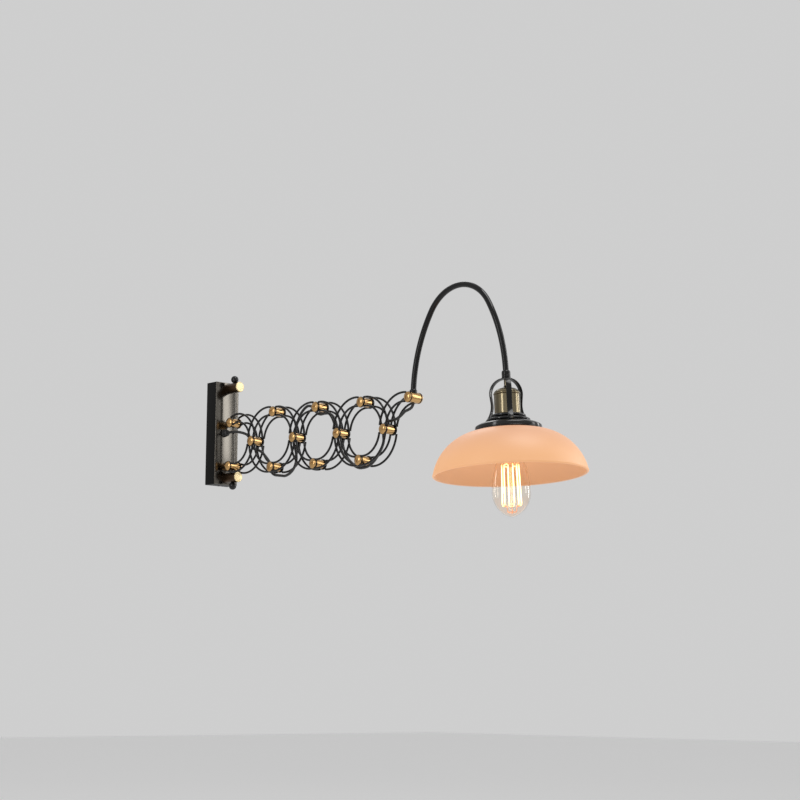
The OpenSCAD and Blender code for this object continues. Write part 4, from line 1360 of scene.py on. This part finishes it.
class LAMP_OT_bulb(bpy.types.Operator):
    """Build the clear bulb, its glass stem, the lit wire and its hooks"""

    bl_idname = "lamp.bulb"
    bl_label = "Bulb"

    def execute(self, context):
        sizes = context.scene.lamp_sizes
        radius = sizes.bulb_r / MM
        outline = bulb_line(radius, 0)[:-1] + [(0, -BULB_TIP)]
        inner = bulb_line(radius, BULB_WALL)[:-1] + [(0, BULB_WALL - BULB_TIP)]
        glass = moved(revolved(outline + inner[::-1] + [outline[0]], 72), ON_LAMP)
        shape_piece("bulb_clear", glass, "bulb_glass", "lamp_head", ["bulb_glass"], "clear_glass", 60)
        from_node("bulb_base", "nickel", "lamp_head", "nickel")

        low, top, count = WICK_LOW, WICK_TOP, sizes.strands
        rod = moved(revolved(stem_outline(low, top), 32), ON_LAMP)
        shape_piece("bulb_stem", rod, "stem_glass", "lamp_head", ["bulb_filament"], "clear_glass", 60)

        place, turn = ON_LAMP.translation * MM, Vector(ON_LAMP.to_euler())
        empty = bpy.data.meshes.new("wick_source")
        wick = grown(
            "lit_wire", "zigzag_cage", empty, "lit_wire", Count=count, Top=top * MM, Low=low * MM,
            Top_ring=WICK_TOP_R * MM, Low_ring=WICK_LOW_R * MM, Radius=WICK_R * MM, Place=place, Turn=turn,
        )
        show("lit_wire", wick, "lit_wire", "lamp_head", (), "filament")

        high_hook = [(1.5, top + 3), (WICK_TOP_R * 0.5, top + 2.7)]
        high_hook += [(WICK_TOP_R - 1.5, top + 1), (WICK_TOP_R, top - 0.6)]
        low_hook = [(2, low - 11), (6.4, low - 11.6), (8.6, low - 9.6), (8.9, low - 5), (9.6, low - 2.2)]
        low_hook += [(WICK_LOW_R - 3, low - 1.2), (WICK_LOW_R, low + 0.6)]
        high, below = (
            hooks(path, r, count, phase, place, turn)
            for path, r, phase in ((high_hook, HIGH_HOOK_R, 2), (low_hook, LOW_HOOK_R, 0.5))
        )
        show("hooks_high", high, "copper_wire", "lamp_head", (), "filament")
        show("hooks_low", below, "copper_wire", "lamp_head", (), "filament")
        return {"FINISHED"}


# The cord
CORD_CUTS = 5


def near(hub, x, z, y=0):
    """A place in the arm's plane, or y beside it, counted from a hub."""
    return hub + Vector((x, y, z))


def eased(points, cuts):
    """A smooth line through the points."""
    out = []
    for i in range(len(points) - 1):
        p0, p1, p2, p3 = (points[min(max(i + k, 0), len(points) - 1)] for k in (-1, 0, 1, 2))
        for k in range(cuts):
            t = k / cuts
            out.append(
                0.5 * (2 * p1 + (p2 - p0) * t + (2 * p0 - 5 * p1 + 4 * p2 - p3) * t * t
                       + (3 * p1 - p0 - 3 * p2 + p3) * t**3)
            )
    return out + [points[-1]]


def cord_mesh(name, path, radius, sides=12):
    """A tube along the path with its own map: once round, and metres along."""
    mesh = bpy.data.meshes.new(name)
    work = bmesh.new()
    uv = work.loops.layers.uv.new("UVMap")
    rings, runs, run = [], [], 0
    for i, p in enumerate(path):
        t = (path[min(i + 1, len(path) - 1)] - path[max(i - 1, 0)]).normalized()
        u = Vector((0, 1, 0)).cross(t).normalized()
        v = t.cross(u)
        run += (p - path[i - 1]).length if i else 0
        runs.append(run * MM)
        ring = [p + radius * (math.cos(a) * u + math.sin(a) * v) for a in around(sides)]
        rings.append([work.verts.new(place * MM) for place in ring])
    for i in range(len(path) - 1):
        for k in range(sides):
            j = (k + 1) % sides
            face = work.faces.new((rings[i][k], rings[i][j], rings[i + 1][j], rings[i + 1][k]))
            corners = ((k, i), (k + 1, i), (k + 1, i + 1), (k, i + 1))
            for loop, (a, b) in zip(face.loops, corners):
                loop[uv].uv = (a / sides, runs[b])
    work.faces.new(rings[0][::-1])
    work.faces.new(rings[-1])
    bmesh.ops.recalc_face_normals(work, faces=work.faces[:])
    work.to_mesh(mesh)
    work.free()
    smooth(mesh, 50)
    return mesh, run * MM


def cord_stretches():
    """Each stretch of the cord: its name, its two bodies, the node it stands for, and its path."""
    gland, m, low, top = Vector((FACE_X + 11, GLAND_Y, 0)), MID, LOW, TOP
    wall = [near(gland, -4, 0), near(gland, 9, 0.4), near(m[0], -58, 23.9, -5.7), near(m[0], -44, 21.6, -4)]
    wall += [near(m[0], -30, 17.4, -2), near(m[0], -20.5, 11.5, -0.5), near(m[0], -14.6, 3.6)]
    first = [near(m[0], -13.2, -5), near(m[0], -8, -12), near(m[0], 1, -16), near(m[0], 11, -18.6)]
    first += [near(m[0], 21, -23.6), near(m[0], 30, -31), near(low[1], -21.2, 15), near(low[1], -15.6, 6.6)]
    first += [near(low[1], -13.4, -2.2)]
    loop = [near(low[1], -8.9, -10.2), near(low[1], -0.8, -14.8), near(low[1], 9, -16.4)]
    loop += [near(low[1], 20, -18), near(low[1], 31, -19), near(m[1], -20, -64.5), near(m[1], -9, -56)]
    loop += [near(m[1], -3, -44), near(m[1], -3, -31), near(m[1], -6.5, -19), near(m[1], -11, -9)]
    loop += [near(m[1], -12.4, 2), near(m[1], -9.5, 13), near(m[1], -4, 23), near(m[1], 1.5, 33)]
    loop += [near(m[1], 8.5, 43.5), near(top[2], -47, 2.2), near(top[2], -37, 6.6), near(top[2], -27, 5.6)]
    loop += [near(top[2], -17.8, 0), near(top[2], -9.8, -8.4), near(top[2], 1, -12.6)]
    drop = [near(top[2], 12.5, -12.3), near(top[2], 24.5, -13.4), near(top[2], 35, -19)]
    drop += [near(top[2], 43, -29), near(top[2], 47.5, -41), near(m[2], -12.9, 1), near(m[2], -9.6, -11)]
    drop += [near(m[2], -4.5, -23), near(m[2], 3, -35), near(m[2], 13.5, -46), near(low[3], -35, 0.5)]
    drop += [near(low[3], -24, -7), near(low[3], -12, -11.8), near(low[3], 0, -12.6)]
    climb = [near(low[3], 12.5, -11), near(low[3], 25, -5.5), near(low[3], 37, 4.5)]
    climb += [near(m[3], -17.5, -32.5), near(m[3], -11.8, -20.5), near(m[3], -12, -9)]
    climb += [near(m[3], -12.9, 1), near(m[3], -9.2, 9.9), near(m[3], -0.6, 14.4)]
    climb += [near(m[3], 11.4, 15.4), near(m[3], 23, 17), near(m[3], 34, 22)]
    end = [near(LAST, -21.5, -22), near(LAST, -13, -20), near(LAST, -5.2, -17.2), near(LAST, -0.9, -12.4)]
    end += [near(LAST, 0, -7)]
    names = [
        ("cord_1", "wall_base", "swing_head", "cord_wall", wall[:4]),
        ("cord_2", "swing_head", "rise_1", "cord_wall", wall[4:]),
        ("cord_3", "rise_1", "fall_1", "cord_fall_1", first),
        ("cord_4", "fall_1", "rise_2", "cord_rise_2", loop),
        ("cord_5", "rise_2", "fall_3", "cord_fall_3", drop),
        ("cord_6", "fall_3", "rise_4", "cord_rise_4", climb),
        ("cord_7", "rise_4", "lamp_head", "cord_rise_4", end),
    ]
    whole = eased([p for stretch in names for p in stretch[-1]], CORD_CUTS)
    stretches, at = [], 0
    for *words, points in names:
        stop = at + (len(points) - (at == 0)) * CORD_CUTS
        stretches.append((*words, whole[at : stop + 1]))
        at = stop
    return stretches


class LAMP_OT_cord(bpy.types.Operator):
    """Build the cord that hangs along the arm, from the box to the last hub"""

    bl_idname = "lamp.cord"
    bl_label = "Cord"

    def execute(self, context):
        radius = context.scene.lamp_sizes.cord_r / MM
        for name, first, second, node, path in cord_stretches():
            mesh, length = cord_mesh(name, path, radius)
            piece = show(name, mesh, "cord_sleeve", None, [node], "cord_black")
            tuple(path[0] * MM)
            tuple(path[-1] * MM)
            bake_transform(piece)
            tuple(path[0] * MM)
            [tuple(p * MM) for p in path]
        return {"FINISHED"}


# The stage
def seen_directly(sheet):
    """1 for what the camera, a mirror or clear glass shows, 0 for the light on the object."""
    rays = sheet.node("ShaderNodeLightPath").outputs
    shown = Value(sheet, rays["Is Camera Ray"]).math("MAXIMUM", rays["Is Glossy Ray"])
    return shown.math("MAXIMUM", rays["Is Transmission Ray"])


SOFT_LIGHT, BACKDROP = 0.42, 0.62
FLOOR_HALF, FLOOR_Z = 12, -0.9
FLOOR_TONE, FLOOR_LIFT = (0.8, 0.8, 0.8), (0.2, 0.2, 0.2)
AIM = Vector((0.45, 0, -0.02))
SOFT_BOXES = (
    ("right_box", (1.98, 1.45, 0.72), (0.45, 1.6), 9),
    ("left_box", (0.65, -2.1, 0.5), (0.35, 1.5), 9),
    ("side_box", (1.25, 2.0, 0.35), (0.25, 1.4), 8),
    ("back_box", (-0.75, 0.9, 1.5), (1.0, 0.6), 4),
    ("top_box", (1.3, 0.2, 2.2), (1.2, 1.2), 24),
)
CAMERA_AT = (2.9003, -2.1781, -0.5021)
CAMERA_YAW, CAMERA_PITCH, CAMERA_ROLL = 47.43, -9.04, 0.34
CAMERA_LENS = 83.47


def lay_floor(scene):
    """A pale floor, which isn't part of the lamp."""
    f = Finish("floor_pale")
    tone = f.mix(f.grain(0.6), FLOOR_TONE, toned(FLOOR_TONE, 0.985))
    lift = f.mix(seen_directly(f), (0, 0, 0), FLOOR_LIFT)
    coat = f.done(Base_Color=tone, Roughness=0.8, Emission_Color=lift, Emission_Strength=1.0)
    floor = bpy.data.meshes.new("floor")
    corners = [(x * FLOOR_HALF, y * FLOOR_HALF, FLOOR_Z) for x, y in ((-1, -1), (1, -1), (1, 1), (-1, 1))]
    floor.from_pydata(corners, [], [(0, 1, 2, 3)])
    floor.materials.append(coat)
    ground = bpy.data.objects.new("floor", floor)
    scene.collection.objects.link(ground)


def light_world(scene):
    """Soft light from all round, and a pale backdrop."""
    world = bpy.data.worlds.new("studio")
    scene.world = world
    world.use_nodes = True
    w = Sheet(world.node_tree)
    world.node_tree.nodes.clear()
    soft = w.node("ShaderNodeBackground", None, {"Color": (1, 1, 1), "Strength": SOFT_LIGHT})
    back = w.node("ShaderNodeBackground", None, {"Color": (1, 1, 1), "Strength": BACKDROP})
    inputs = {0: seen_directly(w), 1: soft.outputs[0], 2: back.outputs[0]}
    both = w.node("ShaderNodeMixShader", None, inputs)
    w.node("ShaderNodeOutputWorld", None, {0: both.outputs[0]})


def hang_lights(scene):
    """Five soft boxes that all point at the lamp's middle."""
    for name, place, size, power in SOFT_BOXES:
        light = bpy.data.lights.new(name, "AREA")
        light.shape, light.size, light.size_y, light.energy = "RECTANGLE", *size, power
        holder = bpy.data.objects.new(name, light)
        holder.location = place
        holder.rotation_euler = (AIM - Vector(place)).to_track_quat("-Z", "Y").to_euler()
        scene.collection.objects.link(holder)


def aim_camera(scene):
    """The camera of the photograph, as solved from the lamp's own hubs and rims."""
    yaw, pitch, roll = (math.radians(a) for a in (CAMERA_YAW, CAMERA_PITCH, CAMERA_ROLL))
    away = Vector((math.sin(yaw) * math.cos(pitch), -math.cos(yaw) * math.cos(pitch), math.sin(pitch)))
    right = Vector((math.cos(yaw), math.sin(yaw), 0))
    up = away.cross(right)
    right, up = (
        math.cos(roll) * right + math.sin(roll) * up,
        math.cos(roll) * up - math.sin(roll) * right,
    )
    view = bpy.data.cameras.new("photo_view")
    view.sensor_width, view.lens = 36, CAMERA_LENS
    camera = bpy.data.objects.new("photo_view", view)
    turn = Matrix((right, up, away)).transposed().to_4x4()
    camera.matrix_world = Matrix.Translation(CAMERA_AT) @ turn
    scene.collection.objects.link(camera)
    scene.camera = camera


class LAMP_OT_stage(bpy.types.Operator):
    """Set the floor, the lights and the camera of the photograph"""

    bl_idname = "lamp.stage"
    bl_label = "Stage"

    def execute(self, context):
        scene = context.scene
        scene.view_settings.view_transform = "Standard"
        lay_floor(scene)
        light_world(scene)
        hang_lights(scene)
        aim_camera(scene)
        return {"FINISHED"}


class LAMP_PT_pieces(bpy.types.Panel):
    """Lists the sizes, the finishes and the pieces of the lamp"""

    bl_idname = "LAMP_PT_pieces"
    bl_label = "Wall lamp"
    bl_space_type = "VIEW_3D"
    bl_region_type = "UI"
    bl_category = "Wall lamp"

    def draw(self, context):
        for group in (context.scene.lamp_sizes, context.scene.lamp_finishes):
            column = self.layout.column(align=True)
            for key in group.bl_rna.properties.keys():
                if key not in ("rna_type", "name"):
                    column.prop(group, key)
        for operator in OPERATORS:
            self.layout.operator(operator.bl_idname)


OPERATORS = (
    LAMP_OT_stage,
    LAMP_OT_cord,
    LAMP_OT_wall_box,
    LAMP_OT_links,
    LAMP_OT_hubs,
    LAMP_OT_neck,
    LAMP_OT_cage,
    LAMP_OT_socket,
    LAMP_OT_shade,
    LAMP_OT_bulb,
)
CLASSES = (LampSizes, LampFinishes, *OPERATORS, LAMP_PT_pieces)


def register():
    """Registers the classes and puts the sizes and finishes on the scene."""
    for cls in CLASSES:
        bpy.utils.register_class(cls)
    bpy.types.Scene.lamp_sizes = PointerProperty(type=LampSizes)
    bpy.types.Scene.lamp_finishes = PointerProperty(type=LampFinishes)


def unregister():
    del bpy.types.Scene.lamp_finishes
    del bpy.types.Scene.lamp_sizes
    for cls in reversed(CLASSES):
        bpy.utils.unregister_class(cls)


def main():
    """Builds the stage and every piece."""
    register()
    for operator in OPERATORS:
        group, name = operator.bl_idname.split(".")
        getattr(getattr(bpy.ops, group), name)()


if __name__ == "__main__":
    main()
